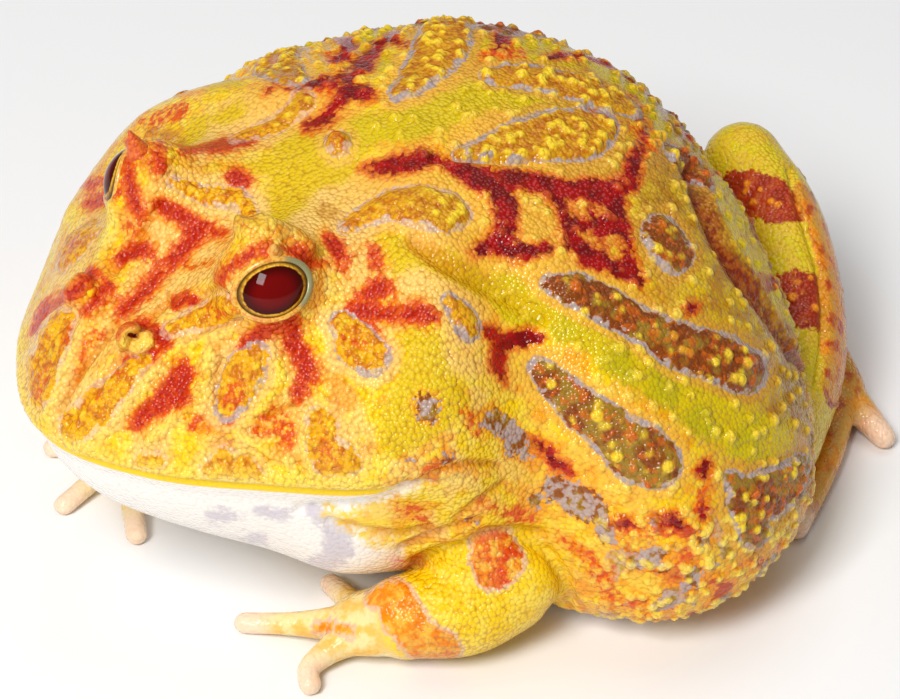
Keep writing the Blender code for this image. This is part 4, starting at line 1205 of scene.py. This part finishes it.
    # Legs and arms
    arm = f.mix(mottle.ease(0.45, 0.62) * 0.6, c["yellow"], c["cream"])
    leg = f.mix(mottle.ease(0.4, 0.62), c["legYellow"], c["legGold"])
    arm = f.mix(x.ease(0, -20) * 0.9, arm, leg)
    limb = limb.most(depth("shankSide", 0.6).ease(-1.0, 0.5) * (0.7 + 0.3 * freckle.ease(0.4, 0.55)))
    cover(limb * crimson.ease(0.2, -0.5).most(x.ease(0, -20)) * 0.95, arm)
    sand = f.mix(mottle.ease(0.4, 0.6), c["ochre"], f.mix(cloud.ease(0.45, 0.6), c["orange"], c["rustRed"]))
    tarsus = depth("tarsus", 0.3).ease(-0.3, 0.2)
    cover(sole.most(tarsus * limb) * 0.95, sand)
    cover(digit * (0.9 - 0.75 * x.ease(-10, -30)),
          f.mix(mottle.ease(0.42, 0.62) * 0.8, c["fingerCream"], c["peach"]))
    # Painted shadow of the fold between body and thigh, mixed with rust red that stands for the thigh hidden
    # under the body
    foldShadowShare = depth("thighFoldShadow", 0.8).ease(-0.7, 0.7)
    foldShadowTone = f.mix(freckle.ease(0.4, 0.62) * 0.6, c["foldShade"], c["rustRed"])
    cover(foldShadowShare * (0.6 + 0.35 * freckle.ease(0.6, 0.4)), foldShadowTone)
    band = depth("band", 0.8)
    cover(band.ease(-0.8, -0.35) * limb * x.ease(-10, 5) * 0.8, c["pinkGrey"])
    bandTone = f.mix(mottle.ease(0.38, 0.56) * (1 - 0.75 * x.ease(14, 19)),
                     f.mix(freckle.ease(0.4, 0.6), c["peach"], c["orange"]), c["scarlet"])
    bandTone = f.mix(x.ease(0, -20) * 0.85, bandTone, f.mix(mottle.ease(0.42, 0.6), c["crimson"], c["band"]))
    bandTone = f.mix(wart.ease(0.2, 0.8), bandTone, c["orange"])
    cover(band.ease(-0.3, 0.15) * limb * (1 - foldShadowShare) * (1 - 0.85 * tarsus), bandTone)
    cover(tip * 0.85, c["skinPink"])
    # White jaw and throat under the mouth, with the yellow rim of the lower lip
    front = x.ease(19, 30) * trunk * depth("warm", 1.4).ease(0.8, -0.8)
    jaw = f.mix(depth("lilac").ease(-0.6, 0.6) * 0.8, c["white"], c["lilac"])
    cover(lip.ease(2.6, 0.4) * x.ease(24, 32) * 0.6 * trunk, c["cream"])
    cover((lip + (fine - 0.5) * 0.5).ease(0.2, -0.3) * front, jaw)
    strip = lip.ease(-0.2, -0.4) * lip.ease(-1.9, -1.6) * x.ease(25, 29) * trunk
    cover(strip, c["lipYellow"])
    # Belly
    cover((z + (wide - 0.5) * 3).ease(4.0, 1.0) * trunk * 0.8, c["white"])
    # Painted shade between the granules, darker and redder there, and the nostril slits are dark
    beaded = lip.ease(-0.5, 0.5).most(x.ease(30, 20)) * (1 - 0.6 * digit) * (0.62 + 0.38 * headward)
    ground = f.mix(away.ease(0.45, 0.8) * (0.06 + 0.26 * beaded), ground, c["creviceShade"], "MULTIPLY")
    cover(f.attribute("nostril") * (0.5 + 0.4 * freckle.ease(0.6, 0.4)), c["nostril"])
    # Painted shadow inside the nostril slit, dark red
    cover(f.attribute("pit").ease(0.3, 0.9), c["pit"])
    f.colour(ground)
    f.link(skinLook["roughness"] - 0.03 * headward + (fine - 0.5) * 0.14, f.shader.inputs["Roughness"])
    f.bump(away * away * (-0.5 - 1.2 * beaded), skinLook["granuleDepth"])
    return f.material


def eyePiece(name, side):
    # Radius by the angle from the gaze: the larger reach of the eyeball and of the cornea's ball ahead of it
    gaze, level, rise = gazeAxes(side)
    columns, rows = 96, 72
    tall = np.linspace(0, math.pi, rows)[1:-1, None]
    turn = fullTurn(columns) * side
    ahead, cap = eye["corneaAhead"], eye["corneaRadius"]
    radius = np.maximum(eye["radius"], ahead * np.cos(tall) + np.sqrt(cap ** 2 - (ahead * np.sin(tall)) ** 2))
    rings = ((np.sin(tall) * np.cos(turn) * radius)[..., None] * level
             + (np.sin(tall) * np.sin(turn) * radius)[..., None] * rise
             + (np.cos(tall) * radius + 0 * turn)[..., None] * gaze)
    centre = eyeCentre(side)
    rear, front = centre - gaze * eye["radius"], centre + gaze * (ahead + cap)
    points, faces = closedTube(centre + rings[::-1], rear, front)
    piece = newPiece(name, points, faces)
    u, v, w = eyeFrame(points, side)
    pupil = 1 - np.hypot(u / eye["pupil"][0], v / eye["pupil"][1]) - 9 * (w < 0)
    ring = np.hypot(u / (eye["opening"][0] * 0.93), v / (eye["opening"][1] * 0.95))
    keepField(piece.data, "pupil", pupil)
    keepField(piece.data, "ringwise", ring)
    return piece


eyeLook = {
    "roughness": 0.04,
    "specular": 0.16,
    "iris": (paint(240, 188, 60), paint(206, 132, 24)),
    "irisEdge": paint(92, 62, 20),
    "pupil": (paint(58, 3, 2), paint(108, 6, 5)),
}


def eyeFinish():
    # A streaked iris, darker at the lids, round a pupil that is darkest at its edge
    f = Finish("glossyEye", Roughness=eyeLook["roughness"], Specular_IOR_Level=eyeLook["specular"])
    pupil, ring = f.attribute("pupil"), f.attribute("ringwise")
    streaks = f.noise(0.5, 3.0)
    iris = f.mix(streaks.ease(0.4, 0.62), *eyeLook["iris"])
    iris = f.mix(ring.ease(0.84, 0.97), iris, eyeLook["irisEdge"])
    pupilTone = f.mix(pupil.ease(0.0, 0.5), *eyeLook["pupil"])
    f.colour(f.mix((pupil + (streaks - 0.5) * 0.05).ease(-0.02, 0.03), iris, pupilTone))
    return f.material


def lidRim(name, side):
    # A round bead carried along the eye opening's edge on the eyeball, thicker at both corners
    gaze, level, rise = gazeAxes(side)
    count, sides = 120, 14
    turn = fullTurn(count) * side
    wide = eye["opening"][0] * np.cos(turn)
    tall = eye["opening"][1] * np.sin(turn)
    aside = wide ** 2 + tall ** 2
    ball = np.sqrt(eye["radius"] ** 2 - aside)
    cap = eye["corneaAhead"] + np.sqrt(eye["corneaRadius"] ** 2 - aside)
    middle = wide[:, None] * level + tall[:, None] * rise + (np.maximum(ball, cap) + 0.1)[:, None] * gaze
    ahead, out = unit(np.roll(middle, -1, axis=0) - np.roll(middle, 1, axis=0)), unit(middle)
    across = np.cross(ahead, out)
    angle = fullTurn(sides)
    bead = eye["rimThickness"] * (1 + 0.5 * np.cos(turn) ** 4)
    rings = middle[:, None] + bead[:, None, None] * (np.cos(angle)[:, None] * out[:, None]
                                                     + np.sin(angle)[:, None] * across[:, None] * 1.2)
    ring, step = np.arange(count)[:, None] * sides, np.arange(sides)
    after, beside = (ring + sides) % (count * sides), (step + 1) % sides
    faces = np.stack([ring + step, ring + beside, after + beside, after + step], -1).reshape(-1, 4)
    if side < 0:
        faces = faces[:, ::-1]
    piece = newPiece(name, eyeCentre(side) + rings.reshape(-1, 3), faces.tolist())
    keepField(piece.data, "rear", np.repeat(ease(0.1, 0.9, wide / eye["opening"][0]), sides))
    return piece


lidLook = {
    "roughness": 0.25,
    "coat": (0.5, 0.1),  # weight and roughness
    "tones": (paint(240, 190, 78), paint(222, 140, 44)),
    "rear": paint(150, 146, 100),
}


def lidFinish():
    # Two speckled tones, and a third at the rear corner
    coat, coatRoughness = lidLook["coat"]
    f = Finish("lidRim", Roughness=lidLook["roughness"], Coat_Weight=coat, Coat_Roughness=coatRoughness)
    speckle = f.noise(0.5, 3.0)
    tone = f.mix(speckle.ease(0.4, 0.6), *lidLook["tones"])
    f.colour(f.mix(f.attribute("rear").ease(0.3, 0.8), tone, lidLook["rear"]))
    f.bump(speckle, 0.05)
    return f.material


def hornPiece(name, base, tip, radius):
    # A soft cone: radius falls from base to tip as (1 - t) to the 0.8, with beaded sides
    ahead = unit(tip - base)
    across = unit(np.cross([0, 1, 0], ahead))
    lift = np.cross(ahead, across)
    rows, sides = 26, 30
    t = np.linspace(-0.25, 0.97, rows)[:, None]
    angle = fullTurn(sides)
    beads = 1 + 0.07 * np.sin(angle * 7 + t * 21) * (1 - t.clip(0))
    radius = radius * (1 - t.clip(0)) ** 0.8 * beads
    rings = (base + (tip - base) * t[..., None] + (radius * np.cos(angle))[..., None] * across
             + (radius * np.sin(angle))[..., None] * lift)
    start = base + (tip - base) * -0.25
    return newPiece(name, *closedTube(rings, start, tip))


def hornFinish(name, root, end):
    f = Finish(name, Roughness=0.4)
    away, chance = f.cells(0.5)
    f.colour(f.mix((f.noise(0.8, 3.0) + chance * 0.2).ease(0.45, 0.7), root, end))
    f.bump(away * away * -1.5, 0.1)
    return f.material


fleshNodes = [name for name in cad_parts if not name.startswith(("eye_", "horn_"))]

skinPiece = skinMesh()
shapeSkin(skinPiece)
thinSkin(skinPiece)
skinPiece.data.materials.clear()
skinPiece.data.materials.append(skinFinish())
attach(skinPiece, "root")
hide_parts(*fleshNodes)

glossyEye, rimSkin = eyeFinish(), lidFinish()
hornSkins = {"left": hornFinish("paleHorn", paint(224, 128, 36), paint(246, 190, 92)),
             "right": hornFinish("redHorn", paint(206, 74, 14), paint(232, 112, 34))}
for sideName, side in (("left", 1), ("right", -1)):
    ball = eyePiece(sideName + "Eye", side)
    rim = lidRim(sideName + "LidRim", side)
    point = hornPiece(sideName + "Horn", **horn[sideName])
    for piece, finish in ((ball, glossyEye), (rim, rimSkin), (point, hornSkins[sideName])):
        piece.data.materials.append(finish)
        piece.data.polygons.foreach_set("use_smooth", [True] * len(piece.data.polygons))
        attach(piece, "root")
    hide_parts("eye_" + sideName)
    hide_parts("horn_" + sideName)
print("Eyes, lid rims and horns made")

studio = {
    "floorSize": 3.0,
    "floorTone": (0.93, 0.93, 0.93),
    "sky": 0.20,
    "lamps": {
        "key": {"at": (0.62, 0.30, 0.78), "size": (0.34, 0.5), "power": 9.5},
        "top": {"at": (-0.3, -0.2, 1.0), "size": (0.7, 0.7), "power": 2.5},
    },
}


def floorPiece():
    half = studio["floorSize"] / 2
    mesh = bpy.data.meshes.new("floor")
    corners = [(x * half, y * half, 0) for x, y in ((-1, -1), (1, -1), (1, 1), (-1, 1))]
    mesh.from_pydata(corners, [], [(0, 1, 2, 3)])
    mesh.materials.append(Finish("paleFloor", Roughness=0.8, Base_Color=(*studio["floorTone"], 1)).material)
    placed("floor", mesh)


def studioLight():
    world = bpy.data.worlds.new("studio")
    world.use_nodes = True
    world.node_tree.nodes["Background"].inputs["Color"].default_value = (1, 1, 1, 1)
    world.node_tree.nodes["Background"].inputs["Strength"].default_value = studio["sky"]
    bpy.context.scene.world = world
    for name, lamp in studio["lamps"].items():
        light = bpy.data.lights.new(name, "AREA")
        light.shape = "RECTANGLE"
        light.size, light.size_y = lamp["size"]
        light.energy = lamp["power"]
        made = placed(name, light)
        made.location = lamp["at"]
        made.rotation_mode = "QUATERNION"
        made.rotation_quaternion = (-made.location).to_track_quat("-Z", "Y")


def photoCamera():
    # The lens in millimetres is the focal length in pixels over the width, times the sensor's width
    data = bpy.data.cameras.new("camera")
    data.sensor_width = 36.0
    data.lens = photo["focal"] / photo["width"] * data.sensor_width
    data.clip_start, data.clip_end = 0.05, 10
    camera = placed("camera", data)
    axes = Matrix((rightward, upward, sight)).transposed().to_4x4()
    camera.matrix_world = Matrix.Translation((lensAt + shift) * mm) @ axes
    bpy.context.scene.camera = camera


floorPiece()
studioLight()
photoCamera()
bpy.context.scene.view_settings.view_transform = "Standard"
bpy.context.view_layer.update()
print("Studio set")
